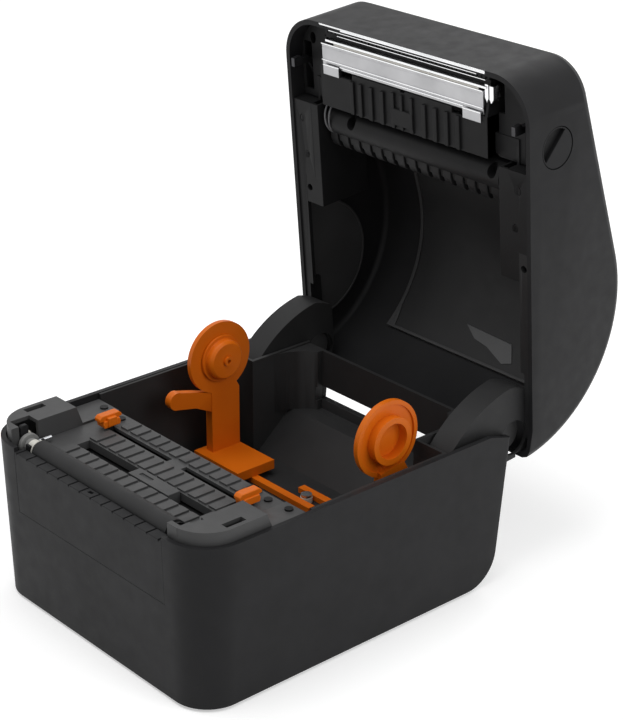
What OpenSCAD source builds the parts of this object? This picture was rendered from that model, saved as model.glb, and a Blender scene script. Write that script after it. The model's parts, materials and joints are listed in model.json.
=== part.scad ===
// Direct thermal label printer with its lid open.
// The model stands on z = 0. X is the width, -Y the label exit and +Y the rear.

/* [Base] */
// Width of the base at its rim
base_w = 198; // [190:1:210]
// Depth of the base at its rim
base_d = 229; // [225:1:240]
// Height of the base's side rim
rim_z = 100.7; // [99:0.1:106]
// Wall of the moulded housings
wall = 3; // [2.5:0.1:3.4]
// Radius of the front corners in plan
corner_r = 26; // [22:0.5:30]
// How far each side leans in from rim to bottom
side_draft = 3.6; // [2:0.1:5]
// How far the front leans in from rim to bottom
front_draft = 2.5; // [1:0.1:4]
// How far the rear leans in from rim to bottom
rear_draft = 5.9; // [4:0.1:8]
// Radius of the rear lower edge
heel_r = 22; // [18:0.5:26]
// Height of the rubber feet below the base
foot_h = 2; // [1.5:0.1:3]
// Radius of a rubber foot
foot_r = 8; // [6:0.5:10]
// Height of the seam under the front panel
panel_z = 60; // [50:1:70]
// Height of the serrated strip at the label exit
strip_z = 98.3; // [97:0.1:99]
// Depth of the serrated strip
strip_d = 6.8; // [6:0.1:7]

/* [Media bed] */
// Height of the ribbed bed
bed_z = 97; // [96:0.1:98]
// Half of the width between the two raised caps
bay_half_w = 75; // [73:0.5:76]
// Height of the raised caps above the rim
cap_h = 7.5; // [6:0.1:8.5]
// Y of the bed's rear edge
bed_rear_y = -36; // [-38:0.5:-34]
// Y of the label guides' slots
guide_slot_y = -52; // [-53:0.5:-51]
// Travel of each label guide
guide_travel = 54; // [30:1:55]
// Y of the media sensor's slot
sensor_slot_y = -75.5; // [-76.5:0.5:-74.5]
// Width of the media sensor's slot
sensor_slot_w = 9; // [7:0.5:10]

/* [Platen] */
// Radius of the platen's rubber
platen_r = 6.5; // [6:0.1:6.6]
// Length of the platen's rubber
platen_len = 122; // [110:1:123]
// Radius of the platen's steel shaft
platen_shaft_r = 3; // [2.5:0.1:3.5]
// Y of the platen's axis
platen_y = -100.6; // [-101:0.1:-100]
// Height of the platen's axis
platen_z = 96.6; // [96:0.1:97]

/* [Spool holders] */
// Y of the roll's axis
spool_y = 38.3; // [37:0.1:39]
// Height of the roll's axis
spool_z = 110.1; // [109:0.1:112]
// Half of the distance between the two holder plates
spool_half_w = 72; // [70:0.5:73]
// Radius of a holder's round plate
plate_r = 22.9; // [21:0.1:23.5]
// Thickness of a holder's round plate
plate_t = 2; // [1.6:0.1:2.6]
// Depth of the ring on a holder's outer side
ring_len = 7.5; // [6:0.1:8]
// Radius of a hub that enters the roll's core
hub_r = 12.4; // [11.5:0.1:12.6]
// Length of a hub
hub_len = 7; // [5:0.5:8]
// Travel of each holder
spool_travel = 36; // [30:1:37]

/* [Lid] */
// Angle of the open lid, from closed
lid_open = 85.1; // [75:0.1:86]
// Width of the lid
lid_w = 199; // [191:1:211]
// Height of the lid's front face above the rim
lid_front_h = 49.2; // [45:0.1:54]
// Radius of the lid's rear curve
lid_curve_r = 85.3; // [84:0.1:87]
// Radius of the lid's rounded edges
lid_edge_r = 5; // [4:0.5:7]
// Y of the hinge axis
hinge_y = 109.8; // [109:0.1:110.5]
// Height of the hinge axis
hinge_z = 79; // [78:0.1:80]
// Radius of a hinge pin
hinge_pin_r = 3; // [2.5:0.1:3.5]
// Half of the distance between the hinge arms
arm_in_x = 75.6; // [75:0.1:77]
// Width of a hinge arm
arm_w = 16.8; // [15:0.1:18]

/* [Mechanism] */
// Gear module
gear_m = 0.8; // [0.7:0.05:0.85]
// Side of the square stepper motor
motor_w = 39; // [35:1:40]
// Length of the stepper motor
motor_len = 34; // [25:1:36]
// Teeth of the motor's pinion
pinion_teeth = 12; // [10:1:12]
// Teeth of the idler gear
idler_teeth = 40; // [38:1:40]
// Teeth of the platen's gear
platen_teeth = 17; // [16:1:17]

/* [Fits] */
// Gap between housings that meet
seam = 0.4; // [0.3:0.05:0.6]
// Radial play of a running fit
play = 0.05; // [0.02:0.01:0.09]
// Gap of a sliding piece
slide_gap = 0.3; // [0.25:0.05:0.4]

/* [Hidden] */
eps = 0.01;
$fn = 48;

front_y = -base_d / 2;
rear_y = base_d / 2;
bottom_z = foot_h;
rear_corner_r = 3;
tub_h = rim_z - bottom_z;
// Inner half width of the tub just under its rim
in_half_w = base_w / 2 - wall;
heel_y = rear_y - rear_draft - heel_r;

// Rear openings and what sits in them
slot_half_w = 58;
slot_z0 = 66.3;
slot_z1 = 75.6;
port_panel_y = rear_y - 8;
port_z = 24;
dc_x = -52;
usb_x = -22;
lan_x = 8;
switch_x = 52;
switch_z = 32;
switch_w = 19.2;
switch_h = 13;
rocker_y = port_panel_y + 2;
rocker_throw = 14;
board_z = port_z - 1.6;
board_posts_x = [-60, 70];
board_posts_y = [-18, 86];

// Fasteners and feet of the tub
panel_half_w = base_w / 2 - corner_r - 5.5;
strip_pitch = 10;
foot_x = 70;
foot_y = [front_y + 32, rear_y - 48];
case_screw_r = 1.5;
case_x = 84;
case_y = [-60, 45];
case_screw_len = 22;
boss_r = 4.5;

// The frame under the bed, the caps and the bed
frame_z = 86;
frame_t = 3;
cap_z = rim_z + cap_h;
cap_inset = wall + 0.8;
cap_t = 2.4;
cap_rear_y = -66;
bearing_x = platen_len / 2 + 4.5;
bed_screw_spots = [[66, bed_z - 1.2], [83, bed_z]];
bed_screw_r = 1.2;
bearing_r = 4.5;
rib_pitch = 9;
rib_h = 1.2;
bed_t = 5;
bed_front_y = platen_y + platen_r + 1.8;
bed_low_z = bed_z - rib_h - bed_t;
rib_rows = [
  [bed_front_y + 1, sensor_slot_y - sensor_slot_w / 2 - 1],
  [sensor_slot_y + sensor_slot_w / 2 + 1, guide_slot_y - 4],
  [guide_slot_y + 4, bed_rear_y - 1.5]
];
guide_slot_w = 4;
guide_rack_y = 3;
guide_pin_r = 1.2;
rack_t = 2.4;
guide_rack_reach = 10;
guide_x = 62.5;
guide_slot_x1 = guide_x + 2.2;
guide_slot_x0 = guide_x - guide_travel - 2.2;
sensor_x = 10.3;
sensor_len = 36;
sensor_slot_x = 56;

// Hinge and the cheeks that its arms sink into
arm_reach = 44.6;
knuckle_r = hinge_pin_r + 1.6;
cheek_x = arm_in_x - 4.6;
cheek_t = 1.8;
cheek_y = hinge_y - arm_reach - cheek_t - 0.6;
hinge_slot_x0 = arm_in_x - 1.2;
hinge_slot_x1 = arm_in_x + arm_w + 1.2;

// Roll space
well_floor_z = 38;
ramp_y0 = 67;
ramp_y1 = 93;
deck_z = 60;
well_rear_y = rear_y - 7;
well_t = 2.4;
side_wall_t = 1.8;
well_front_y = bed_rear_y + seam;
corner_fill_r = 28;
pin_r = 3;
foot_top_z = 48;
foot_in_x = spool_travel + 4;
foot_out_x = spool_half_w + 10;
rack_w = 5;
rack_top_z = 41.8;
pinion_screw_r = 1.5;
rack_pitch_r = 4;
rack_mid_y = spool_y + 6.2;
rack_reach = 12;
lever_y = spool_y - 33;

// Gear train, from the platen down to the motor
gear_x = bay_half_w + 5;
gear_t = 4;
motor_x = gear_x - 5.5;
motor_shaft_r = 2.5;
motor_boss_r = 11;
idler_pin_r = 2;
idler_y = platen_y + gear_m * (platen_teeth + idler_teeth) / 2 * cos(48.5);
idler_z = platen_z - gear_m * (platen_teeth + idler_teeth) / 2 * sin(48.5);
motor_y = idler_y + gear_m * (pinion_teeth + idler_teeth) / 2 * cos(53);
motor_z = idler_z - gear_m * (pinion_teeth + idler_teeth) / 2 * sin(53);

// Lid, described closed and then turned open about the hinge
lid_z = rim_z + seam;
lid_front_z = rim_z + lid_front_h;
roof_slope = 11.3;
curve_y = rear_y - lid_curve_r;
curve_z = rim_z - 8.7;
frame_out_x = lid_w / 2 - wall;
frame_in_x = 81;
frame_y0 = -61;
frame_y1 = -13;
low_strip_x = 89.5;
low_strip_y1 = 62;
strip_low_z = lid_z + 1;
arm_out_x = arm_in_x + arm_w;
plate_y0 = -76;
plate_z0 = cap_z + 2;
lid_screw_spots = [[87, -27], [89, -50]];
lid_screw_r = 1.1;

// Printhead
head_half_w = 70.5;
head_arm_x = head_half_w + 0.5;
head_arm_t = 3;
head_y0 = platen_y - 3.7;
head_y1 = head_y0 + 26;
head_face_z = platen_z + platen_r + slide_gap;
head_top_z = head_face_z + 12;
tear_half_w = 60.5;
pivot_y = head_y1 - 4;
pivot_z = head_face_z + 8;
pivot_r = 1.8;
back_z = head_top_z + 7;
panel_y0 = -81;
panel_y1 = -62.5;
comb_y = -58;
comb_z = rim_z + 9.9;
comb_r = 5;

// Latch and controls
latch_x = 90.2;
latch_slot_y = -84.5;
latch_slot_l = 13;
latch_slot_w = 4.4;
latch_hook_t = 2.6;
latch_y = -71.5;
latch_z = rim_z + 22.4;
latch_shaft_r = 3;
hook_low_z = cap_z - 10;
tab_r = 12;
button_x = 55;
button_y = -92;
button_r = 6.7;
lens_r = 2;
lens_y = button_y + 14;

// The highest and rearmost points of the open lid set where the model stands
function opened(p) = [
  hinge_y + (p[0] - hinge_y) * cos(lid_open) + (p[1] - hinge_z) * sin(lid_open),
  hinge_z - (p[0] - hinge_y) * sin(lid_open) + (p[1] - hinge_z) * cos(lid_open)
];
lid_reach_y = opened([curve_y, curve_z])[0] + lid_curve_r;
stand_shift = (lid_reach_y + front_y) / 2;

// Every piece is placed from the base's centre, then shifted to stand centred
module stand() translate([0, -stand_shift, 0]) children();
module on_lid() stand() translate([0, hinge_y, hinge_z]) rotate([-lid_open, 0, 0])
  translate([0, -hinge_y, -hinge_z]) children();
module both_sides() {
  children();
  mirror([1, 0, 0]) children();
}
// A rod along X, centred on x
module x_rod(r, len, x = 0) translate([x - len / 2, 0, 0]) rotate([0, 90, 0]) cylinder(h = len, r = r);
// A box from its lowest corner to its highest
module span(a, b) translate(a) cube(b - a);
// A plate with rounded corners, centred in plan
module round_plate(w, d, h, r) linear_extrude(h) {
  square([w - 2 * r, d], center = true);
  square([w, d - 2 * r], center = true);
  for (x = [-1, 1], y = [-1, 1]) translate([x * (w / 2 - r), y * (d / 2 - r)]) circle(r);
}
// A profile drawn in Y and Z, pulled along X from x0 to x1
module side_cut(x0, x1) translate([x0, 0, 0]) rotate([90, 0, 90]) linear_extrude(x1 - x0) children();
// A spur gear with straight-sided teeth, bored and centred on z = 0 to t
module gear(teeth, t, bore) {
  tip = gear_m * teeth / 2 - slide_gap / 2;
  root = tip - 1.8 * gear_m;
  step = 360 / teeth;
  linear_extrude(t) difference() {
    polygon([for (i = [0:teeth - 1], k = [[0, root], [0.28, root], [0.4, tip], [0.6, tip], [0.72, root]])
      k[1] * [cos((i + k[0]) * step), sin((i + k[0]) * step)]]);
    circle(bore);
  }
}

// ---------- base ----------
tub_dark = [0.13, 0.13, 0.14];
inner_dark = [0.17, 0.17, 0.18];

// The tub's outer form, or its hollow when it is inset
module tub_form(inset, floor_z, top_z) hull() {
  lift = (floor_z - bottom_z) / tub_h;
  low_w = base_w / 2 - side_draft * (1 - lift) - inset;
  low_front = front_y + front_draft * (1 - lift) + inset;
  r_top = corner_r - inset;
  r_low = r_top - side_draft * (1 - lift);
  for (s = [-1, 1]) {
    translate([s * (base_w / 2 - corner_r), front_y + corner_r, top_z - eps]) cylinder(h = eps, r = r_top);
    translate([s * (low_w - r_low), low_front + r_low, floor_z]) cylinder(h = eps, r = r_low);
    translate([s * (base_w / 2 - inset - rear_corner_r), rear_y - inset - rear_corner_r, top_z - eps])
      cylinder(h = eps, r = rear_corner_r, $fn = 16);
  }
  translate([0, heel_y, bottom_z + heel_r]) x_rod(heel_r - inset, 2 * (base_w / 2 - side_draft - inset));
}

module rear_openings() {
  slot_cut();
  span([dc_x - 5, rear_y - 14, port_z - 0.3], [dc_x + 5, rear_y + 5, port_z + 11.3]);
  span([usb_x - 6.3, rear_y - 14, port_z - 0.3], [usb_x + 6.3, rear_y + 5, port_z + 11.3]);
  span([lan_x - 8.3, rear_y - 14, port_z - 0.3], [lan_x + 8.3, rear_y + 5, port_z + 13.8]);
  span([switch_x - switch_w / 2, rear_y - 14, switch_z - switch_h / 2],
    [switch_x + switch_w / 2, rear_y + 5, switch_z + switch_h / 2]);
}
// Fan-fold paper enters through this slot
module slot_cut() span([-slot_half_w, well_rear_y - 6, slot_z0], [slot_half_w, rear_y + 5, slot_z1]);

module front_opening() span([-panel_half_w, front_y - 1, panel_z],
  [panel_half_w, front_y + front_draft + wall + 0.5, rim_z + 1]);
module at_feet() for (x = [-foot_x, foot_x], y = foot_y) translate([x, y, 0]) children();
module at_case_screws() for (x = [-case_x, case_x], y = case_y) translate([x, y, bottom_z]) children();

module hinge_notches() both_sides()
  span([hinge_slot_x0, cheek_y + cheek_t, hinge_z - 18], [hinge_slot_x1, rear_y + 5, rim_z + 5]);

module base_tub() color(tub_dark) stand() difference() {
  union() {
    difference() {
      tub_form(0, bottom_z, rim_z);
      tub_form(wall, bottom_z + wall, rim_z + 1);
    }
    // The front screws reach the frame, the rear ones stop under the well
    for (x = [-case_x, case_x]) {
      translate([x, case_y[0], bottom_z]) cylinder(h = frame_z - bottom_z, r = boss_r);
      translate([x, case_y[1], bottom_z])
        cylinder(h = well_floor_z - well_t - bottom_z, r = boss_r);
    }
    for (x = board_posts_x, y = board_posts_y)
      translate([x, y, bottom_z + wall - 1]) cylinder(h = board_z - bottom_z - wall + 1, r = 3);
  }
  front_opening();
  rear_openings();
  hinge_notches();
  // The rim dips behind the well
  side_cut(-base_w, base_w) polygon([
    [rear_y - 18, rim_z], [rear_y + 5, rim_z - 7], [rear_y + 5, rim_z + 9], [rear_y - 18, rim_z + 9]
  ]);
  at_case_screws() translate([0, 0, -eps]) cylinder(h = case_screw_len + 6, r = case_screw_r);
  at_case_screws() translate([0, 0, -eps]) cylinder(h = 3, r = 3.2);
  at_feet() translate([0, 0, bottom_z - eps]) cylinder(h = 1, r = foot_r);
  both_sides() translate([cheek_x - 1, hinge_y, hinge_z]) rotate([0, 90, 0])
    cylinder(h = base_w / 2 - wall + 2 - cheek_x, r = hinge_pin_r);
}
module front_panel() color([0.14, 0.14, 0.15]) stand() difference() {
  intersection() {
    tub_form(0, bottom_z, rim_z);
    span([-panel_half_w + eps, front_y - 1, panel_z + eps],
      [panel_half_w - eps, front_y + strip_d, strip_z]);
  }
  // Hollow behind the face, then the gaps between the strip's blocks
  span([-panel_half_w + 3, front_y + front_draft + 0.2, panel_z - 1],
    [panel_half_w - 3, front_y + 20, strip_z - 2.2]);
  for (i = [-6.5:6.5])
    span([i * strip_pitch - 0.5, front_y - 1, strip_z - 1],
      [i * strip_pitch + 0.5, front_y + 20, strip_z + 1]);
  span([-1.7, front_y + 3.2, strip_z - 1.5], [1.7, front_y + 5.2, strip_z + 1]);
}
module rubber_feet() color([0.06, 0.06, 0.06]) stand() at_feet()
  cylinder(h = bottom_z + 1 - eps, r = foot_r - 0.1);
module case_screws() color([0.6, 0.6, 0.62]) stand() at_case_screws() {
  translate([0, 0, 1]) cylinder(h = 2 - eps, r = 2.8);
  translate([0, 0, 2.9]) cylinder(h = case_screw_len, r = case_screw_r - eps);
}
// The flat frame under the bed carries the platen, the bed and both caps
module top_frame() color(inner_dark) stand() difference() {
  union() {
    intersection() {
      tub_form(wall + seam / 2, bottom_z + wall, rim_z);
      span([-base_w, front_y + 7, frame_z], [base_w, bed_rear_y, frame_z + frame_t]);
    }
    // Lugs that hold the platen's bearings, open above
    both_sides() difference() {
      span([bearing_x - 2, platen_y - 6, frame_z], [bearing_x + 2, platen_y + 6, platen_z + 4]);
      span([bearing_x - 5, platen_y - bearing_r, platen_z],
        [bearing_x + 5, platen_y + bearing_r, platen_z + 9]);
    }
  }
  // Room for the platen and its gears
  span([-bearing_x + 3, platen_y - platen_r - 1, frame_z - 1],
    [bearing_x - 3, platen_y + platen_r + 1, frame_z + 9]);
  span([-gear_x - 5, platen_y - 13, frame_z - 1], [-gear_x + 3, idler_y + 18, frame_z + 9]);
  for (x = [-case_x, case_x]) translate([x, case_y[0], frame_z - 1]) cylinder(h = 9, r = bed_screw_r);
  at_bed_screws() translate([0, 0, frame_z - 1]) cylinder(h = 9, r = bed_screw_r);
  both_sides() translate([bearing_x, platen_y, platen_z]) x_rod(bearing_r, 20);
}
// ---------- roll well ----------
function well_half(z) = in_half_w - seam - side_draft * (rim_z - z) / tub_h;

// A side wall of the roll space leans in with the tub
module side_wall() translate([0, cheek_y + 1, 0]) rotate([90, 0, 0])
  linear_extrude(cheek_y + 1 - well_front_y) polygon([
    [well_half(well_floor_z - well_t) - side_wall_t, well_floor_z - well_t],
    [base_w / 2, well_floor_z - well_t],
    [base_w / 2, rim_z], [well_half(rim_z) - side_wall_t, rim_z]
  ]);
module media_well() color(inner_dark) stand() difference() {
  intersection() {
    tub_form(wall + seam, bottom_z + wall, rim_z - 0.3);
    union() {
      // Front wall, floor, ramp, deck and rear wall in one bent sheet
      side_cut(-base_w / 2, base_w / 2) polygon([
        [well_front_y, frame_z + frame_t], [well_front_y, well_floor_z - well_t],
        [ramp_y0 + 1, well_floor_z - well_t], [ramp_y1 + 1, deck_z - well_t],
        [well_rear_y + well_t, deck_z - well_t], [well_rear_y + well_t, rim_z - 1.2],
        [well_rear_y, rim_z - 1.2], [well_rear_y, deck_z],
        [ramp_y1, deck_z], [ramp_y0, well_floor_z],
        [well_front_y + well_t, well_floor_z], [well_front_y + well_t, frame_z + frame_t]
      ]);
      both_sides() {
        // Cheeks beside the ramp, with the hinge arms beyond them
        span([cheek_x, cheek_y, well_floor_z - well_t], [cheek_x + well_t, rear_y, rim_z]);
        span([cheek_x, cheek_y, well_floor_z - well_t], [base_w / 2, cheek_y + cheek_t, rim_z]);
        // Curved corner between cheek and rear wall
        difference() {
          span([cheek_x - corner_fill_r / 2, well_rear_y - corner_fill_r, deck_z - eps],
            [cheek_x + eps, well_rear_y + eps, rim_z - 1.2]);
          translate([cheek_x - corner_fill_r, well_rear_y - corner_fill_r, deck_z - 1])
            cylinder(h = tub_h, r = corner_fill_r, $fn = 96);
        }
        // Side wall of the roll space
        side_wall();
      }
    }
  }
  slot_cut();
  // Bores of the hinge pins
  both_sides() translate([cheek_x - 1, hinge_y, hinge_z]) rotate([0, 90, 0]) cylinder(h = 5, r = hinge_pin_r);
  // Thread of the holders' pinion screw
  translate([0, rack_mid_y, well_floor_z - 5]) cylinder(h = 10, r = pinion_screw_r);
  // Room for the closed lid's rear rim
  both_sides() span([cheek_x - 1, rear_y - wall - 1, rim_z - 5], [base_w / 2, rear_y, rim_z + 1]);
  // Bays of the hinge arms
  both_sides() span([cheek_x + well_t, cheek_y + cheek_t, well_floor_z - 10],
    [base_w / 2, rear_y, rim_z + 1]);
}
module hinge_pins() color([0.7, 0.7, 0.72]) stand() both_sides()
  translate([(cheek_x + base_w / 2 - wall + 1) / 2, hinge_y, hinge_z])
    x_rod(hinge_pin_r - 0.01, base_w / 2 - wall + 1 - cheek_x);

// ---------- caps and bed ----------
// Outline of the front corner's inside, drawn in plan for the right side
module corner_outline(inset) {
  translate([base_w / 2 - corner_r, front_y + corner_r]) circle(corner_r - inset, $fn = 96);
  translate([0, front_y + corner_r]) square([base_w / 2 - inset, 100]);
  translate([0, front_y + inset]) square([base_w / 2 - corner_r, 100]);
}
// A raised cap that fills a front corner of the base
module cap_form() difference() {
  intersection() {
    linear_extrude(2 * rim_z) corner_outline(cap_inset);
    side_cut(bay_half_w, base_w) polygon([
      [front_y, frame_z + frame_t], [bed_rear_y, frame_z + frame_t], [bed_rear_y, bed_z],
      [cap_rear_y + 4, bed_z], [cap_rear_y, cap_z], [front_y, cap_z]
    ]);
  }
  // Hollow underside
  intersection() {
    linear_extrude(2 * rim_z) corner_outline(cap_inset + cap_t);
    side_cut(bay_half_w + cap_t, base_w) polygon([
      [front_y, frame_z], [bed_rear_y - 3, frame_z], [bed_rear_y - 3, bed_z - cap_t],
      [cap_rear_y + 1, bed_z - cap_t], [cap_rear_y - 3, cap_z - cap_t], [front_y, cap_z - cap_t]
    ]);
  }
  translate([latch_x, latch_slot_y, 0]) span([-latch_slot_w / 2, -latch_slot_l / 2, frame_z],
    [latch_slot_w / 2, latch_slot_l / 2, cap_z + 1]);
  at_bed_screws() translate([0, 0, frame_z]) cylinder(h = 60, r = bed_screw_r + play);
}
module gear_cover_left() color([0.15, 0.15, 0.16]) stand() difference() {
  mirror([1, 0, 0]) cap_form();
  // Open pocket that shows the platen's gear, and room for the train
  span([-gear_x - 4, platen_y - 5, platen_z - 9], [-bay_half_w + 1, platen_y + 8, cap_z + 1]);
  translate([-gear_x, platen_y, platen_z]) x_rod(gear_m * platen_teeth / 2 + 0.4, gear_t + 1.2);
  translate([-gear_x, idler_y, idler_z]) x_rod(gear_m * idler_teeth / 2 + 1, gear_t + 1.2);
}
module cap_right() color([0.15, 0.15, 0.16]) stand() {
  cap_form();
  // Tongue that hides the end of the platen
  span([panel_half_w + seam, front_y + cap_inset, frame_z + frame_t],
    [bay_half_w + 1, front_y + strip_d + 0.2, cap_z]);
}
module media_bed() color([0.16, 0.16, 0.17]) stand() {
  difference() {
    union() {
      span([-bay_half_w + seam, bed_front_y, bed_low_z], [bay_half_w - seam, bed_rear_y, bed_z - rib_h]);
      for (row = rib_rows, i = [-6:6])
        span([i * rib_pitch - 3.2, row[0], bed_z - rib_h - eps], [i * rib_pitch + 3.2, row[1], bed_z]);
      // Posts down to the frame
      for (x = [-40, 40], y = [bed_front_y + 1, bed_rear_y - 5])
        span([x - 3, y, frame_z + frame_t], [x + 3, y + 4, bed_z - 3]);
    }
    // Sensor slot, guide slots and the channel of the guides' racks
    span([-sensor_slot_x, sensor_slot_y - sensor_slot_w / 2, bed_z - 12],
      [sensor_slot_x, sensor_slot_y + sensor_slot_w / 2, bed_z + 1]);
    both_sides() span([guide_slot_x0, guide_slot_y - guide_slot_w / 2, bed_z - 12],
      [guide_slot_x1, guide_slot_y + guide_slot_w / 2, bed_z + 1]);
    span([-guide_x - 5, guide_slot_y - guide_rack_y - 3.4, bed_low_z - 1],
      [guide_x + 5, guide_slot_y + guide_rack_y + 3.4, bed_low_z + 0.3 + rack_t + slide_gap]);
    at_bed_screws() translate([0, 0, frame_z]) cylinder(h = 60, r = bed_screw_r + play);
  }
  // Pin of the guides' pinion
  translate([0, guide_slot_y, bed_low_z]) cylinder(h = 4, r = guide_pin_r);
}

module at_bed_screws() both_sides() for (p = bed_screw_spots)
  translate([p[0], bed_rear_y - 5, 0]) children();
module bed_screws() color([0.5, 0.5, 0.52]) stand() both_sides() for (p = bed_screw_spots)
  translate([p[0], bed_rear_y - 5, p[1]]) {
    translate([0, 0, -11]) cylinder(h = 11 + eps, r = bed_screw_r - eps);
    cylinder(h = 1, r = 2.4);
  }
// ---------- electronics ----------
module main_board() color([0.05, 0.3, 0.16]) stand() {
  difference() {
    span([-66, -25, board_z], [76, port_panel_y - 2, board_z + 1.6]);
    for (x = board_posts_x, y = board_posts_y) translate([x, y, board_z - 1]) cylinder(h = 4, r = 1.4);
  }
  // Processor, capacitors and cable headers
  translate([0, 0, board_z + 1.6]) {
    span([8, 20, 0], [32, 44, 2]);
    span([-45, 5, 0], [-25, 13, 7]);
    span([45, 0, 0], [65, 8, 7]);
    for (x = [-50, -38], y = [40, 54]) translate([x, y, 0]) cylinder(h = 10, r = 4);
  }
}
module dc_jack() color([0.05, 0.05, 0.05]) stand() difference() {
  span([dc_x - 4.7, port_panel_y - 12, port_z], [dc_x + 4.7, port_panel_y + 2.6, port_z + 11]);
  translate([dc_x, port_panel_y - 7, port_z + 5.5]) rotate([-90, 0, 0]) difference() {
    cylinder(h = 20, r = 3.1);
    cylinder(h = 9, r = 1);
  }
}
module usb_port() color([0.75, 0.76, 0.78]) stand() difference() {
  span([usb_x - 6, port_panel_y - 16, port_z], [usb_x + 6, port_panel_y + 3.2, port_z + 11]);
  span([usb_x - 4.2, port_panel_y - 7, port_z + 1.4], [usb_x + 4.2, port_panel_y + 5, port_z + 9.2]);
}
module ethernet_port() color([0.75, 0.76, 0.78]) stand() difference() {
  span([lan_x - 8, port_panel_y - 18, port_z], [lan_x + 8, port_panel_y + 3.2, port_z + 13.5]);
  span([lan_x - 5.9, port_panel_y - 9, port_z + 2.4], [lan_x + 5.9, port_panel_y + 5, port_z + 9.5]);
  span([lan_x - 3, port_panel_y - 9, port_z + 9.4], [lan_x + 3, port_panel_y + 5, port_z + 11.6]);
}
module switch_frame() color([0.06, 0.06, 0.06]) stand() difference() {
  union() {
    span([switch_x - switch_w / 2 + 0.2, port_panel_y - 13, switch_z - switch_h / 2 + 0.2],
      [switch_x + switch_w / 2 - 0.2, port_panel_y + 4, switch_z + switch_h / 2 - 0.2]);
    span([switch_x - switch_w / 2 - 1, port_panel_y + 3.6, switch_z - switch_h / 2 - 1],
      [switch_x + switch_w / 2 + 1, port_panel_y + 4.6, switch_z + switch_h / 2 + 1]);
  }
  span([switch_x - switch_w / 2 + 1.6, port_panel_y - 5, switch_z - switch_h / 2 + 1.6],
    [switch_x + switch_w / 2 - 1.6, port_panel_y + 6, switch_z + switch_h / 2 - 1.6]);
  translate([switch_x, rocker_y, switch_z - switch_h / 2 - 1]) cylinder(h = switch_h + 2, r = 1 + play);
}
// The rocker is thrown to one side, and turns about its pin
module power_rocker() color([0.04, 0.04, 0.04]) stand()
  translate([switch_x, rocker_y, switch_z]) rotate([0, 0, -rocker_throw / 2]) difference() {
    half_l = switch_w / 2 - 2.2;
    half_h = switch_h / 2 - 2;
    union() {
      translate([0, 0, -half_h]) linear_extrude(2 * half_h)
        polygon([
          [-half_l, 0.6], [-2, -2.2], [2, -2.2], [half_l, 0.6], [half_l, 3.2], [0, 2.2], [-half_l, 3.2]
        ]);
      translate([0, 0, -switch_h / 2 + 0.8]) cylinder(h = switch_h - 1.6, r = 1);
    }
  }

// ---------- drive ----------
module stepper_motor() color([0.55, 0.56, 0.58]) stand()
  translate([-motor_x, motor_y, motor_z]) difference() {
  union() {
    translate([0, -motor_w / 2, -motor_w / 2]) rotate([90, 0, 90]) translate([motor_w / 2, motor_w / 2, 0])
      round_plate(motor_w, motor_w, motor_len, 4);
    translate([-2, 0, 0]) rotate([0, 90, 0]) cylinder(h = 2 + eps, r = motor_boss_r - eps);
  }
  translate([-3, 0, 0]) rotate([0, 90, 0]) cylinder(h = motor_len, r = motor_shaft_r + play);
}
module gear_bracket() color([0.72, 0.73, 0.75]) stand() {
  difference() {
    union() {
      side_cut(-motor_x - 2, -motor_x) polygon([
        [idler_y - 14, frame_z], [idler_y - 14, idler_z - 6],
        [motor_y - motor_w / 2, motor_z - motor_w / 2],
        [motor_y + motor_w / 2, motor_z - motor_w / 2], [motor_y + motor_w / 2, frame_z]
      ]);
      // Flange under the frame
      span([-motor_x - 2, motor_y - 15, frame_z - 2], [-motor_x + 12, motor_y + motor_w / 2, frame_z]);
    }
    translate([-motor_x - 3, motor_y, motor_z]) rotate([0, 90, 0]) cylinder(h = 4, r = motor_boss_r);
  }
  translate([-gear_x, idler_y, idler_z]) x_rod(idler_pin_r, 2 * (gear_x - motor_x - 1));
}
module motor_pinion() color([0.8, 0.78, 0.6]) stand() translate([-gear_x, motor_y, motor_z]) {
  rotate([0, 90, 0]) translate([0, 0, -gear_t / 2]) gear(pinion_teeth, gear_t, motor_shaft_r - eps);
  translate([10, 0, 0]) x_rod(motor_shaft_r, 26);
}
module idler_gear() color([0.9, 0.9, 0.86]) stand() translate([-gear_x, idler_y, idler_z])
  rotate([0, 90, 0]) translate([0, 0, -gear_t / 2]) gear(idler_teeth, gear_t, idler_pin_r + play);
module platen_gear() color([0.9, 0.9, 0.86]) stand() translate([-gear_x, platen_y, platen_z])
  rotate([0, 90, 0]) translate([0, 0, -gear_t / 2]) gear(platen_teeth, gear_t, platen_shaft_r);
module platen_shaft() color([0.75, 0.76, 0.78]) stand() translate([0, platen_y, platen_z])
  x_rod(platen_shaft_r - eps, bearing_x + 3 + gear_x + 2.2, x = (bearing_x + 0.8 - gear_x) / 2);
module platen_rubber() color([0.12, 0.12, 0.13]) stand() translate([0, platen_y, platen_z]) difference() {
  x_rod(platen_r, platen_len);
  x_rod(platen_shaft_r, platen_len + 2);
}
module platen_bearing(side) translate([side * bearing_x, platen_y, platen_z]) difference() {
  union() {
    x_rod(bearing_r - eps, 6);
    translate([-side * 2.6, 0, 0]) x_rod(bearing_r + 1.2, 0.8);
  }
  x_rod(platen_shaft_r + play, 8);
}
module platen_bearing_left() color([0.72, 0.73, 0.75]) stand() platen_bearing(-1);
module platen_bearing_right() color([0.72, 0.73, 0.75]) stand() platen_bearing(1);

// ---------- sensor and guides ----------
module media_sensor() color([0.15, 0.15, 0.16]) stand() difference() {
  half_d = sensor_slot_w / 2 - slide_gap;
  span([sensor_x - sensor_len / 2, sensor_slot_y - half_d, frame_z + frame_t + slide_gap],
    [sensor_x + sensor_len / 2, sensor_slot_y + half_d, bed_z]);
  // Window of the sensor
  span([sensor_x - 12.5, sensor_slot_y - 1, bed_z - 1], [sensor_x - 2, sensor_slot_y + 1.6, bed_z + 1]);
}
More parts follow.
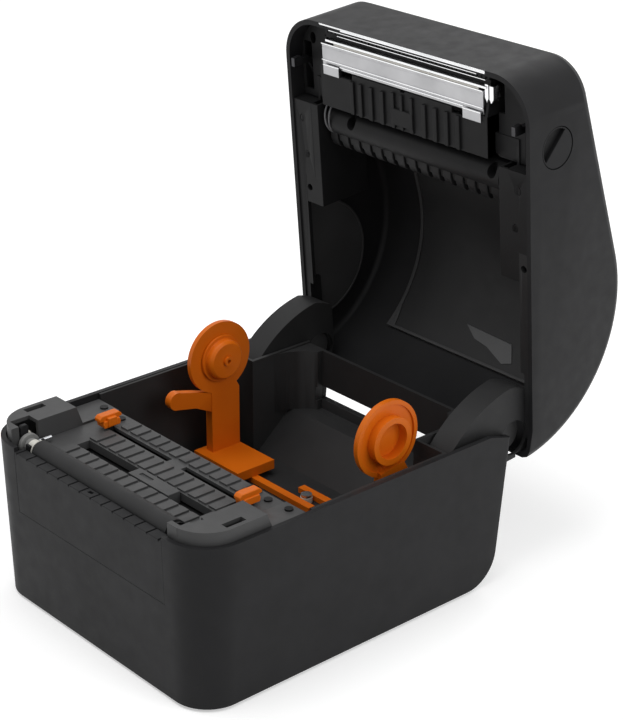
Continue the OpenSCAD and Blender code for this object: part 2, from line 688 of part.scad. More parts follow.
// A label guide: lip, stem, foot and rack. Side is -1 on the left and 1 on the right
module label_guide(side) {
  mid = guide_slot_y;
  stem_y = guide_slot_w / 2 - slide_gap;
  rack_z = bed_low_z + slide_gap;
  // The left rack lies in front of the pinion, the right one behind it
  rack_y = side < 0 ? mid - guide_rack_y - 3 : mid + guide_rack_y;
  mirror([side < 0 ? 1 : 0, 0, 0]) {
    difference() {
      side_cut(guide_x - 4, guide_x + 4) polygon([
        [mid - 9, bed_z + seam], [mid - 9, bed_z + 4], [mid - 5.5, bed_z + 8],
        [mid + 7, bed_z + 8], [mid + 9, bed_z + 5], [mid + 9, bed_z + seam]
      ]);
      span([guide_x - 5, mid - 10, bed_z - 1], [guide_x - 1.6, mid + 10, bed_z + 3]);
    }
    span([guide_x - 2, mid - stem_y, rack_z], [guide_x + 2, mid + stem_y, bed_z + 1]);
    span([guide_x - 3, min(rack_y, mid - stem_y), rack_z],
      [guide_x + 2, max(rack_y + 3, mid + stem_y), rack_z + rack_t]);
    span([-guide_rack_reach, rack_y, rack_z], [guide_x, rack_y + 3, rack_z + rack_t]);
  }
}
module label_guide_left() color("darkorange") stand() label_guide(-1);
module label_guide_right() color("darkorange") stand() label_guide(1);
module guide_pinion() color([0.9, 0.9, 0.86]) stand() translate([0, guide_slot_y, bed_low_z + 0.3])
  difference() {
    cylinder(h = rack_t, r = guide_rack_y - slide_gap);
    translate([0, 0, -1]) cylinder(h = 6, r = guide_pin_r + play);
  }

// ---------- spool holders ----------
// Side is -1 on the left and 1 on the right
module spool_holder(side) mirror([side < 0 ? 1 : 0, 0, 0]) {
  x_in = spool_half_w;
  arm_y = [spool_y - 7.1, spool_y + 14.4];
  arm_mid = (arm_y[0] + arm_y[1]) / 2;
  arm_top_z = spool_z - plate_r + 4;
  difference() {
    union() {
      translate([x_in + plate_t / 2, spool_y, spool_z]) x_rod(plate_r, plate_t);
      // Raised rim, and the ring behind the hub
      translate([x_in + plate_t, spool_y, spool_z]) difference() {
        x_rod(plate_r, 2.4);
        x_rod(plate_r - 2.6, 4);
      }
      translate([x_in + ring_len / 2, spool_y, spool_z]) x_rod(hub_r + 1.8, ring_len);
      side_cut(x_in, x_in + 6) polygon([
        [arm_y[0], foot_top_z - 1], [arm_y[1], foot_top_z - 1], [arm_y[1], arm_top_z - 4],
        [arm_y[1] - 4, arm_top_z + 3], [arm_y[0], arm_top_z]
      ]);
    }
    translate([x_in + ring_len, spool_y, spool_z]) x_rod(hub_r - 1.8, 2 * (ring_len - 1.4));
    // Groove between the arm's two legs
    span([x_in + 3.4, arm_mid - 4, foot_top_z + 6], [x_in + 8, arm_mid + 3, arm_top_z - 3]);
  }
  // Pin that carries the hub
  translate([x_in + eps, spool_y, spool_z]) rotate([0, -90, 0]) difference() {
    cylinder(h = hub_len + 1.6, r = pin_r);
    translate([0, 0, hub_len - 2]) cylinder(h = 6, r = 1.3);
  }
  if (side < 0) {
    // Finger lever
    side_cut(x_in + 0.5, x_in + 5.5) {
      polygon([
        [arm_y[0] + 1, spool_z - 22.3], [arm_y[0] - 12, spool_z - 18], [lever_y, spool_z - 14.2],
        [lever_y, spool_z - 25.4], [arm_y[0] - 12, spool_z - 28.5], [arm_y[0] + 1, spool_z - 35]
      ]);
      translate([lever_y, spool_z - 19.8]) circle(5.6);
    }
  }
  // Foot, and the rack that the pinion drives
  rack_y = rack_mid_y + (side < 0 ? -rack_pitch_r - rack_w : rack_pitch_r);
  foot_y0 = spool_y - 13.8;
  span([foot_in_x, foot_y0, foot_top_z - 6], [foot_out_x, rack_mid_y + rack_pitch_r + rack_w, foot_top_z]);
  span([foot_in_x, rack_y, well_floor_z + slide_gap], [foot_out_x, rack_y + rack_w, foot_top_z - 5]);
  span([-rack_reach, rack_y, well_floor_z + slide_gap], [foot_out_x, rack_y + rack_w, rack_top_z]);
}
module spool_holder_left() color("darkorange") stand() spool_holder(-1);
module spool_holder_right() color("darkorange") stand() spool_holder(1);
module spool_hub() translate([spool_half_w - slide_gap, spool_y, spool_z]) rotate([0, -90, 0]) difference() {
  union() {
    cylinder(h = 1.6, r = hub_r + 2.4);
    cylinder(h = hub_len - 2, r = hub_r);
    translate([0, 0, hub_len - 2]) cylinder(h = 2 - slide_gap, r1 = hub_r, r2 = hub_r - 1.5);
  }
  translate([0, 0, -1]) cylinder(h = 20, r = pin_r + play);
}
module spool_hub_left() color("darkorange") stand() mirror([1, 0, 0]) spool_hub();
module spool_hub_right() color("darkorange") stand() spool_hub();
module spool_pinion() color([0.9, 0.9, 0.86]) stand() translate([0, rack_mid_y, well_floor_z + slide_gap])
  difference() {
    cylinder(h = rack_top_z - well_floor_z - slide_gap, r = rack_pitch_r - slide_gap);
    translate([0, 0, -1]) cylinder(h = 20, r = pinion_screw_r + play);
  }
module pinion_screw() color([0.6, 0.6, 0.62]) stand() translate([0, rack_mid_y, 0]) {
  translate([0, 0, well_floor_z - 5]) cylinder(h = rack_top_z - well_floor_z + 6, r = pinion_screw_r - eps);
  translate([0, 0, rack_top_z + 0.4]) cylinder(h = 1.4, r = 3.4);
}
// ---------- lid, drawn closed ----------
// The lid's outer form, or its hollow when it is inset. The lower half is cut away
module lid_form(inset) hull() {
  half = lid_w / 2 - inset;
  r = lid_curve_r - inset;
  edge = lid_edge_r - inset / 2;
  for (k = [[0, 1], [0.3, 0.3], [1, 0]]) {
    translate([0, curve_y, curve_z]) x_rod(r - edge * k[0], 2 * (half - edge * k[1]), $fn = 120);
    for (s = [-1, 1]) translate([s * (lid_w / 2 - corner_r), front_y + corner_r, 0])
      cylinder(h = lid_front_z - inset - edge * k[1], r = corner_r - inset - edge * k[0], $fn = 64);
  }
}
function roof_z(y) = lid_front_z + (y - front_y) * tan(roof_slope);
module lid_shell() color(tub_dark) on_lid() difference() {
  union() {
    difference() {
      lid_form(0);
      lid_form(wall);
    }
    // Bosses that the inner frame is screwed to
    both_sides() for (p = lid_screw_spots) translate([p[0], p[1], strip_low_z + strip_t])
      cylinder(h = roof_z(p[1]) - wall / 2 - strip_low_z - strip_t, r = 3.2);
  }
  // The rim is level with the base's, and dips a little at the rear
  side_cut(-base_w, base_w) polygon([
    [-base_d, -base_d], [rear_y + 5, -base_d], [rear_y + 5, lid_z - 5], [rear_y - 18, lid_z], [-base_d, lid_z]
  ]);
  both_sides() translate([lid_w / 2 - wall - 1, latch_y, latch_z]) rotate([0, 90, 0])
    cylinder(h = wall + 2, r = tab_r + slide_gap);
  both_sides() at_lid_screws() translate([0, 0, lid_z]) cylinder(h = 18, r = lid_screw_r);
  on_roof(button_y) translate([0, 0, -8]) cylinder(h = 20, r = button_r + slide_gap);
  on_roof(lens_y) translate([0, 0, -8]) cylinder(h = 20, r = lens_r + play);
}
// A spot on the sloping roof, with Z square to it
module on_roof(y) translate([button_x, y, roof_z(y)]) rotate([roof_slope, 0, 0]) children();

// Inner frame: strips beside the opening, and the walls behind them
strip_t = 2.5;
module low_strip(y0) {
  span([low_strip_x, y0, strip_low_z], [frame_out_x, low_strip_y1, strip_low_z + strip_t]);
  // Upright plate that carries the hinge arm
  span([arm_out_x, low_strip_y1 - 2, strip_low_z], [frame_out_x, hinge_y - 6, strip_low_z + 9]);
}
module frame_side() {
  span([frame_in_x, frame_y0, strip_low_z], [frame_out_x, frame_y1, strip_low_z + strip_t]);
  side_cut(frame_in_x, frame_in_x + 2) polygon([
    [plate_y0, plate_z0], [frame_y0, plate_z0], [frame_y0, strip_low_z], [frame_y1, strip_low_z],
    [frame_y1, roof_z(frame_y1) - 5], [plate_y0, roof_z(plate_y0) - 5]
  ]);
  span([frame_in_x, frame_y0, strip_low_z], [frame_out_x, frame_y0 + 2, lid_z + 14]);
  span([frame_in_x, frame_y1 - 2, strip_low_z], [frame_out_x, frame_y1, roof_z(frame_y1) - 8]);
}
module lid_frame() color(inner_dark) on_lid() difference() {
  union() {
    both_sides() frame_side();
    // Beam that joins both sides ahead of the head
    span([-frame_in_x - 1, plate_y0 + 1, roof_z(plate_y0) - 16],
      [frame_in_x + 1, plate_y0 + 3, roof_z(plate_y0) - 7]);
    // Low strip on the left, where no cover is
    mirror([1, 0, 0]) low_strip(frame_y1 - 1);
  }
  both_sides() at_lid_screws() {
    translate([0, 0, strip_low_z - 1]) cylinder(h = 2.2, r = 2.6);
    translate([0, 0, strip_low_z - 1]) cylinder(h = 8, r = lid_screw_r + play);
  }
  both_sides() translate([frame_in_x + 1, latch_y, latch_z]) x_rod(latch_shaft_r + play, 6);
}
module at_lid_screws() for (p = lid_screw_spots) translate([p[0], p[1], 0]) children();
module lid_screws() color([0.5, 0.5, 0.52]) on_lid() both_sides() at_lid_screws() {
  translate([0, 0, strip_low_z + 0.1]) cylinder(h = 1.1, r = 2.2);
  translate([0, 0, strip_low_z + 1.1]) cylinder(h = 12, r = lid_screw_r - eps);
}
module cable_cover() color([0.2, 0.2, 0.21]) on_lid() difference() {
  union() {
    low_strip(frame_y1);
    span([low_strip_x, frame_y1, strip_low_z], [low_strip_x + 2, low_strip_y1, strip_low_z + 13]);
  }
  translate([(low_strip_x + frame_out_x) / 2, frame_y1 + 9, strip_low_z - 1]) cylinder(h = 8, r = 2.2);
}

// A hinge arm: two side plates and a curved band, wrapped about the hinge pin
arm_c = [20.5, -32.5];
arm_c_r = 77.3;
arm_t = 2.2;
module arm_outline(inset) intersection() {
  circle(arm_reach - inset, $fn = 180);
  translate(arm_c) circle(arm_c_r - inset, $fn = 240);
}
module hinge_arm() difference() {
  translate([0, hinge_y, hinge_z]) side_cut(arm_in_x, arm_in_x + arm_w) difference() {
    union() {
      intersection() {
        rotate(lid_open) intersection() {
          arm_outline(0);
          polygon([[-60, 15], [-8, -3.5], [60, -3.5], [60, 60], [-60, 60]]);
        }
        // The closed arm stays ahead of the lid's rear wall and under its frame
        polygon([
          [-100, -100], [3.7, -100], [3.7, 15], [rear_y - wall - seam - hinge_y, 15],
          [rear_y - wall - seam - hinge_y, strip_low_z + strip_t - hinge_z],
          [-100, strip_low_z + strip_t - hinge_z]
        ]);
      }
      circle(knuckle_r);
    }
    circle(hinge_pin_r + play);
  }
  // Hollow between the side plates
  translate([0, hinge_y, hinge_z]) side_cut(arm_in_x + arm_t, arm_in_x + arm_w - arm_t) difference() {
    rotate(lid_open) arm_outline(arm_t);
    circle(knuckle_r);
  }
  // Round window through both side plates
  translate([0, hinge_y, hinge_z]) rotate([lid_open, 0, 0]) translate([arm_in_x, 12.7, 11]) x_rod(10.7, 80);
}
module hinge_arm_left() color(inner_dark) on_lid() mirror([1, 0, 0]) hinge_arm();
module hinge_arm_right() color(inner_dark) on_lid() hinge_arm();

// ---------- printhead, drawn with the lid closed ----------
module head_carrier() color([0.15, 0.15, 0.16]) on_lid() difference() {
  arm_out = head_arm_x + head_arm_t;
  union() {
    // Ribbed panel that faces the bed
    span([-head_arm_x, panel_y0, lid_z + 0.8], [head_arm_x, panel_y1, lid_z + 3]);
    for (i = [-4.5:4.5]) if (abs(i) > 1)
      span([i * 9.6 - 0.9, panel_y0 + 3, lid_z + 0.2], [i * 9.6 + 0.9, panel_y1 - 3, lid_z + 1]);
    span([-9, panel_y0 + 5, lid_z + 0.2], [9, panel_y1 - 4, lid_z + 1]);
    // Side arms and the plate that backs the springs
    both_sides() side_cut(head_arm_x, arm_out) polygon([
      [panel_y1, lid_z + 0.8], [panel_y0, lid_z + 0.8], [pivot_y - 4, pivot_z - 5],
      [head_y0, pivot_z - 3], [head_y0, back_z + 2], [pivot_y + 5, back_z + 2],
      [panel_y0 + 4, pivot_z + 4], [comb_y + comb_r, comb_z + 3], [comb_y + comb_r, comb_z - comb_r],
      [panel_y1, comb_z - comb_r]
    ]);
    span([-head_arm_x, head_y0, back_z], [head_arm_x, pivot_y + 5, back_z + 2]);
    // Ears that meet the inner frame above the caps
    both_sides() span([arm_out - 1, plate_y0, plate_z0], [frame_in_x, panel_y1 - 1, plate_z0 + 3]);
  }
  both_sides() translate([head_arm_x, pivot_y, pivot_z]) x_rod(pivot_r + play, 12);
}
module comb_bar() color([0.17, 0.17, 0.18]) on_lid() {
  // Rounded lip that guides the labels, with a comb behind it
  difference() {
    translate([0, comb_y, comb_z]) x_rod(comb_r, 2 * head_arm_x);
    span([-base_w, comb_y - 30, comb_z], [base_w, comb_y + 30, comb_z + 40]);
    span([-base_w, comb_y - 30, 0], [base_w, comb_y - 2, comb_z + 40]);
  }
  for (i = [-7:7])
    span([i * 9.6 - 2.6, comb_y + comb_r - 1, comb_z - 3.5], [i * 9.6 + 2.6, comb_y + comb_r + 3, comb_z]);
}
module printhead() color([0.82, 0.83, 0.85]) on_lid() difference() {
  union() {
    side_cut(-head_half_w, head_half_w) polygon([
      [head_y0, head_face_z + 2], [head_y1, head_face_z + 2], [head_y1, head_face_z + 5],
      [head_y1 - 3, head_top_z], [head_y0 + 3, head_top_z], [head_y0, head_face_z + 6]
    ]);
    both_sides() span([head_half_w - 16, head_y1 - 1, head_face_z + 2],
      [head_half_w, head_y1 + 4, head_face_z + 4]);
    both_sides() translate([head_half_w, pivot_y, pivot_z]) x_rod(pivot_r, 2 * head_arm_t);
  }
  // Cooling grooves on the back
  for (y = [head_y0 + 6:3.4:head_y1 - 6])
    span([-base_w, y, head_top_z - 3.5], [base_w, y + 1.6, head_top_z + 1]);
}
module head_element() color([0.88, 0.87, 0.82]) on_lid()
  span([-platen_len / 2 + 2, head_y0, head_face_z], [platen_len / 2 - 2, head_y0 + 9, head_face_z + 2]);
module head_springs() color([0.6, 0.6, 0.62]) on_lid() for (x = [-48, 0, 48])
  translate([x, head_y0 + 9, head_top_z + 0.8]) difference() {
    cylinder(h = back_z - head_top_z - 0.8, r = 3.4);
    translate([0, 0, -1]) cylinder(h = 40, r = 2.6);
  }
module tear_bar() color([0.78, 0.79, 0.81]) on_lid() difference() {
  side_cut(-tear_half_w, tear_half_w) polygon([
    [front_y + wall, lid_z + 0.8], [front_y + wall + 1.2, lid_z + 0.2],
    [front_y + wall + 1.2, lid_z + 7], [front_y + wall, lid_z + 7]
  ]);
  for (i = [-37:37]) translate([i * 1.6, front_y, lid_z + 0.1]) rotate([0, 45, 0])
    cube([0.7, 20, 0.7], center = true);
}
// ---------- latch, drawn with the lid closed ----------
module latch_shaft() color([0.75, 0.76, 0.78]) on_lid() translate([0, latch_y, latch_z])
  x_rod(latch_shaft_r - eps, 2 * (lid_w / 2 - wall));
module latch_hook() difference() {
  union() {
    translate([latch_x, latch_y, latch_z]) x_rod(latch_shaft_r + 2.5, latch_hook_t);
    side_cut(latch_x - latch_hook_t / 2, latch_x + latch_hook_t / 2) polygon([
      [latch_y - 4, latch_z + 3], [latch_y + 4, latch_z - 4], [latch_slot_y + 1.2, lid_z + 9],
      [latch_slot_y + 1.2, hook_low_z], [latch_slot_y - 4, hook_low_z],
      [latch_slot_y - 4.6, hook_low_z + 5], [latch_slot_y - 2.6, hook_low_z + 6],
      [latch_slot_y - 3.4, lid_z + 8]
    ]);
  }
  translate([latch_x, latch_y, latch_z]) x_rod(latch_shaft_r, 10);
}
module latch_hook_left() color("silver") on_lid() mirror([1, 0, 0]) latch_hook();
module latch_hook_right() color("silver") on_lid() latch_hook();
// A round tab with a crescent notch for the finger
module release_tab() translate([0, latch_y, latch_z]) difference() {
  translate([lid_w / 2 - wall / 2 - 0.5, 0, 0]) x_rod(tab_r, wall + 1);
  translate([lid_w / 2 + 0.2, -5, -5]) difference() {
    x_rod(14, 3);
    translate([0, -3.5, -3.5]) x_rod(13.5, 5);
  }
  translate([lid_w / 2 - wall - 1.1, 0, 0]) x_rod(latch_shaft_r, 2.2 * wall - 4);
}
module release_tab_left() color([0.1, 0.1, 0.11]) on_lid() mirror([1, 0, 0]) release_tab();
module release_tab_right() color([0.1, 0.1, 0.11]) on_lid() release_tab();

// ---------- controls on the roof ----------
module feed_button() color([0.2, 0.2, 0.21]) on_lid() on_roof(button_y) {
  translate([0, 0, -5]) cylinder(h = 5.8, r = button_r);
  translate([0, 0, -5 - 1.2]) cylinder(h = 1.5, r = button_r + 1.6);
}
module status_lens() color([0.6, 0.8, 0.95]) on_lid() on_roof(lens_y) {
  translate([0, 0, -4.6]) cylinder(h = 4.8, r = lens_r);
  translate([0, 0, -5.4]) cylinder(h = 1, r = lens_r + 1.2);
}

base_tub();
front_panel();
rubber_feet();
case_screws();
top_frame();
media_well();
gear_cover_left();
cap_right();
media_bed();
bed_screws();
hinge_pins();
main_board();
dc_jack();
usb_port();
ethernet_port();
switch_frame();
power_rocker();
stepper_motor();
gear_bracket();
motor_pinion();
idler_gear();
platen_gear();
platen_shaft();
platen_rubber();
platen_bearing_left();
platen_bearing_right();
media_sensor();
label_guide_left();
label_guide_right();
guide_pinion();
spool_holder_left();
spool_holder_right();
spool_hub_left();
spool_hub_right();
spool_pinion();
pinion_screw();
lid_shell();
lid_frame();
hinge_arm_left();
hinge_arm_right();
cable_cover();
head_carrier();
comb_bar();
printhead();
head_element();
head_springs();
tear_bar();
latch_shaft();
latch_hook_left();
latch_hook_right();
release_tab_left();
release_tab_right();
feed_button();
status_lens();
lid_screws();
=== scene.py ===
import bpy, bmesh, json, math
from mathutils import Matrix, Vector


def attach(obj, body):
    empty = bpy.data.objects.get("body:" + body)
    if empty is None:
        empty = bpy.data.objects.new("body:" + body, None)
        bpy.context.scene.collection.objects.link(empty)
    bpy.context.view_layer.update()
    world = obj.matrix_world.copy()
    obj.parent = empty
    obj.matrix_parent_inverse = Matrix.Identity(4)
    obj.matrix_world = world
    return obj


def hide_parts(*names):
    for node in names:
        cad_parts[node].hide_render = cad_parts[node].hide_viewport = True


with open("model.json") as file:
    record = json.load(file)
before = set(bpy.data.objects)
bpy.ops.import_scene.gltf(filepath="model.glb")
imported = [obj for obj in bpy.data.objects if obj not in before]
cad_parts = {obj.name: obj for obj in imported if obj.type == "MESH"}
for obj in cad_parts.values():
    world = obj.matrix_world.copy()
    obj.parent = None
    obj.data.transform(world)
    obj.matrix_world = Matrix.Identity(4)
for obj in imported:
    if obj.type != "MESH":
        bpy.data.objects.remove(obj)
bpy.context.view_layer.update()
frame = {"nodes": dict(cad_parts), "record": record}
nodes = frame["nodes"]
scene = bpy.context.scene
scene.view_settings.view_transform = "Standard"

# ---------------------------------------------------------------- places
# Lengths are in mm from the base's centre at desk level, with the lid drawn closed. BASE takes them
# to the world in metres, and LID also swings them to the lid's open place.
BASE_SHIFT = 43.3339
HINGE_Y, HINGE_Z = 109.8, 79.0
LID_OPEN = math.radians(85.1)
BASE = Matrix.Scale(0.001, 4) @ Matrix.Translation((0, -BASE_SHIFT, 0))
LID = (BASE @ Matrix.Translation((0, HINGE_Y, HINGE_Z)) @ Matrix.Rotation(-LID_OPEN, 4, "X")
       @ Matrix.Translation((0, -HINGE_Y, -HINGE_Z)))
SIDES = ((-1, "left"), (1, "right"))

# ---------------------------------------------------------------- camera, as fitted to the photo
CAM_PLACE = (0.7937, -0.69843, 0.6052)
AZIMUTH, ELEVATION = math.radians(49.045), math.radians(24.668)
SENSOR, LENS = 36.0, 100.343
LENS_SHIFT = (0.02599, 0.02532)
CLIP = (0.05, 20.0)

def set_up(obj, place, look):
    """Puts a camera or a lamp at a place and turns it along a direction."""
    scene.collection.objects.link(obj)
    obj.location = place
    obj.rotation_mode = "QUATERNION"
    obj.rotation_quaternion = look.to_track_quat("-Z", "Y")

def add_camera():
    cam = bpy.data.cameras.new("camera")
    cam.sensor_width, cam.lens = SENSOR, LENS
    cam.shift_x, cam.shift_y = LENS_SHIFT
    cam.clip_start, cam.clip_end = CLIP
    obj = bpy.data.objects.new("camera", cam)
    look = Vector((-math.sin(AZIMUTH) * math.cos(ELEVATION),
                   math.cos(AZIMUTH) * math.cos(ELEVATION), -math.sin(ELEVATION)))
    set_up(obj, CAM_PLACE, look)
    scene.camera = obj

add_camera()

# ---------------------------------------------------------------- materials
DRIFT_SCALE, GLOSS_SCALE = 35.0, 120.0      # plastic: slow colour drift, patches of uneven gloss
LINE_SCALE, CLOUD_SCALE = 900.0, 60.0       # metal: fine lines, slow colour drift
GRAIN_DEPTH, LINE_DEPTH = 0.00004, 0.00002  # relief in metres
RAMP_ENDS = (0.3, 0.7)
NOISE_SPAN = (0.25, 0.75)                   # where the noise's values mostly lie

def new_material(name):
    mat = bpy.data.materials.new(name)
    mat.use_nodes = True
    tree = mat.node_tree
    tree.nodes.clear()
    out = tree.nodes.new("ShaderNodeOutputMaterial")
    bsdf = tree.nodes.new("ShaderNodeBsdfPrincipled")
    tree.links.new(bsdf.outputs[0], out.inputs[0])
    return mat, tree, bsdf

def coords(tree, scale=(1, 1, 1)):
    tex = tree.nodes.new("ShaderNodeTexCoord")
    mapping = tree.nodes.new("ShaderNodeMapping")
    mapping.inputs["Scale"].default_value = scale
    tree.links.new(tex.outputs["Object"], mapping.inputs["Vector"])
    return mapping.outputs["Vector"]

def noise(tree, vector, scale, detail, rough=0.5):
    node = tree.nodes.new("ShaderNodeTexNoise")
    node.inputs["Scale"].default_value = scale
    node.inputs["Detail"].default_value = detail
    node.inputs["Roughness"].default_value = rough
    tree.links.new(vector, node.inputs["Vector"])
    return node.outputs["Fac"]

def ramp(tree, fac, low, high):
    node = tree.nodes.new("ShaderNodeValToRGB")
    for element, place, colour in zip(node.color_ramp.elements, RAMP_ENDS, (low, high)):
        element.position = place
        element.color = (*colour, 1)
    tree.links.new(fac, node.inputs["Fac"])
    return node.outputs["Color"]

def span(tree, fac, low, high):
    node = tree.nodes.new("ShaderNodeMapRange")
    node.inputs["From Min"].default_value, node.inputs["From Max"].default_value = NOISE_SPAN
    node.inputs["To Min"].default_value = low
    node.inputs["To Max"].default_value = high
    tree.links.new(fac, node.inputs["Value"])
    return node.outputs["Result"]

def bump(tree, bsdf, height, strength, distance):
    node = tree.nodes.new("ShaderNodeBump")
    node.inputs["Strength"].default_value = strength
    node.inputs["Distance"].default_value = distance
    tree.links.new(height, node.inputs["Height"])
    tree.links.new(node.outputs["Normal"], bsdf.inputs["Normal"])

def plastic(name, low, high, rough, grain=2600.0, strength=0.35, coat=0.0, spec=0.5):
    """Moulded plastic: a spark-eroded grain, slow colour drift and slightly uneven gloss."""
    mat, tree, bsdf = new_material(name)
    vec = coords(tree)
    slow = noise(tree, vec, DRIFT_SCALE, 3.0)
    fine = noise(tree, vec, grain, 2.0, 0.6)
    tree.links.new(ramp(tree, slow, low, high), bsdf.inputs["Base Color"])
    gloss = span(tree, noise(tree, vec, GLOSS_SCALE, 4.0), rough - 0.05, rough + 0.06)
    tree.links.new(gloss, bsdf.inputs["Roughness"])
    bsdf.inputs["Specular IOR Level"].default_value = spec
    bsdf.inputs["Coat Weight"].default_value = coat
    bsdf.inputs["Coat Roughness"].default_value = 0.35
    bump(tree, bsdf, fine, strength, GRAIN_DEPTH)
    return mat

def metal(name, low, high, rough, stretch=(40, 1, 1)):
    """Drawn or extruded metal with fine lines along one axis."""
    mat, tree, bsdf = new_material(name)
    lines = noise(tree, coords(tree, stretch), LINE_SCALE, 3.0, 0.6)
    slow = noise(tree, coords(tree), CLOUD_SCALE, 2.0)
    tree.links.new(ramp(tree, slow, low, high), bsdf.inputs["Base Color"])
    tree.links.new(span(tree, lines, rough - 0.06, rough + 0.08), bsdf.inputs["Roughness"])
    bsdf.inputs["Metallic"].default_value = 1.0
    bump(tree, bsdf, lines, 0.25, LINE_DEPTH)
    return mat

ALONG_X = (1, 30, 30)
MATS = {
    "housing": plastic("abs_grained", (0.0128, 0.0128, 0.0135), (0.0160, 0.0160, 0.0170),
                       0.50, spec=0.13),
    "inner": plastic("abs_inner", (0.0110, 0.0110, 0.0114), (0.0140, 0.0140, 0.0145),
                     0.46, grain=1900.0, spec=0.13),
    "orange": plastic("orange_acetal", (0.64, 0.128, 0.003), (0.70, 0.152, 0.005),
                      0.40, grain=1500.0, strength=0.12, spec=0.22),
    "rubber_black": plastic("foot_rubber", (0.012, 0.012, 0.012), (0.02, 0.02, 0.02),
                            0.75, grain=900.0),
    "platen_rubber": plastic("platen_rubber", (0.020, 0.020, 0.0205), (0.026, 0.026, 0.0265),
                             0.6, grain=1400.0, spec=0.2),
    "steel": metal("steel", (0.50, 0.51, 0.53), (0.62, 0.63, 0.65), 0.30),
    "head_alloy": metal("head_alloy", (0.40, 0.40, 0.41), (0.48, 0.48, 0.49),
                        0.34, stretch=ALONG_X),
    # A lighter copy of the dark plastic on the well and hinge arms: painted light.
    "well": plastic("well_painted_light", (0.0215, 0.0215, 0.0220), (0.0260, 0.0260, 0.0265),
                    0.48, grain=2000.0, spec=0.15),
    # A lighter copy of the dark plastic for the roll liner: painted fill light in the deep space
    # under the lid.
    "liner": plastic("liner_painted_fill_light", (0.0250, 0.0250, 0.0256), (0.0300, 0.0300, 0.0306),
                     0.44, grain=2000.0, spec=0.2),
    # Near-white metal: partly the real bright metal of the tear bar and head end, partly painted
    # highlight on the heat sink's edges and steps.
    "metal_and_painted_highlight": metal("metal_and_painted_highlight", (0.86, 0.87, 0.88), (0.93, 0.93, 0.94),
                         0.22, stretch=ALONG_X),
    # A still lighter copy of the dark plastic: painted light on the bed, sensor, right cap and left
    # gear cover, the liner's ridge and edge, the dish in the lid's left wall and the knuckles.
    "bed": plastic("bed_painted_light", (0.056, 0.056, 0.0568), (0.066, 0.066, 0.0668),
                   0.46, grain=2200.0, spec=0.2),
    "dark_steel": metal("dark_steel", (0.050, 0.050, 0.053), (0.080, 0.080, 0.084), 0.4),
    "satin": plastic("satin_pad", (0.050, 0.050, 0.052), (0.060, 0.060, 0.062),
                     0.34, grain=1800.0, strength=0.1),
    "disc_grey": plastic("disc_grey", (0.19, 0.19, 0.185), (0.24, 0.24, 0.235),
                         0.45, grain=900.0, spec=0.3),
    "wire": plastic("wire_sleeve", (0.10, 0.10, 0.105), (0.13, 0.13, 0.135), 0.45, grain=900.0),
    "ceramic": plastic("glazed_ceramic", (0.60, 0.58, 0.52), (0.72, 0.70, 0.65),
                       0.18, grain=500.0, strength=0.05),
    "gear_resin": plastic("gear_resin", (0.62, 0.60, 0.54), (0.70, 0.69, 0.64),
                          0.42, grain=1200.0),
    "brass_gear": metal("brass_gear", (0.62, 0.42, 0.16), (0.74, 0.54, 0.24), 0.3),
    "board": plastic("solder_mask", (0.006, 0.045, 0.020), (0.012, 0.075, 0.032),
                     0.3, grain=300.0, coat=0.3),
    "black_plastic": plastic("black_nylon", (0.006, 0.006, 0.0064), (0.010, 0.010, 0.0104),
                             0.45, spec=0.15),
    "button_grey": plastic("cover_grey", (0.018, 0.018, 0.0185), (0.024, 0.024, 0.0245),
                           0.45, spec=0.2),
    "lens": plastic("lens", (0.30, 0.38, 0.42), (0.36, 0.44, 0.48),
                    0.15, grain=200.0, strength=0.05, coat=0.5),
}
slot_of = {s["node"]: s["material_slot"] for s in frame["record"]["subparts"]}
body_with = {n: body for body, members in frame["record"]["behaviour"]["bodies"].items()
             for n in members}

# The record's slots, but with the shades that the photo shows inside one slot: black screws and the
# bearing colours, and lighter copies of the slot's dark plastic as painted light on the bed, sensor,
# left gear cover, right cap, well and arms
LOOK = dict(slot_of, lid_screws="black_plastic", bed_screws="black_plastic",
            media_bed="bed", media_sensor="bed", gear_cover_left="bed", cap_right="bed",
            media_well="well", hinge_arm_left="well", hinge_arm_right="well",
            platen_bearing_left="gear_resin", platen_bearing_right="black_plastic")
for name, obj in nodes.items():
    obj.data.materials.clear()
    obj.data.materials.append(MATS[LOOK[name]])

# ---------------------------------------------------------------- stage and light
FLOOR_HALF = 6.0
FLOOR_GREY, FLOOR_GLOW = 0.80, 0.42
SOFT_LIGHT, WHITE = 0.45, 1.0
LAMPS = (  # name, place, aimed at, size, power
    ("key", (-0.1, -0.5, 2.0), (0, 0, 0.1), (1.4, 1.4), 18),
    ("side", (1.6, 0.4, 1.0), (0, 0, 0.15), (1.0, 1.4), 10),
    ("back", (-0.6, 1.5, 1.3), (0, 0, 0.15), (1.4, 0.8), 6),
)

def seen_rays(tree):
    """1 for rays that come from the camera, a glossy surface or through glass."""
    path = tree.nodes.new("ShaderNodeLightPath")
    total = path.outputs["Is Camera Ray"]
    for kind in ("Is Glossy Ray", "Is Transmission Ray"):
        node = tree.nodes.new("ShaderNodeMath")
        node.operation = "MAXIMUM"
        tree.links.new(total, node.inputs[0])
        tree.links.new(path.outputs[kind], node.inputs[1])
        total = node.outputs[0]
    return total

def mix_seen(tree, lit, seen, out):
    """One shader for the light on the object, another for what is seen."""
    mix = tree.nodes.new("ShaderNodeMixShader")
    tree.links.new(seen_rays(tree), mix.inputs[0])
    tree.links.new(lit.outputs[0], mix.inputs[1])
    tree.links.new(seen.outputs[0], mix.inputs[2])
    tree.links.new(mix.outputs[0], out.inputs[0])

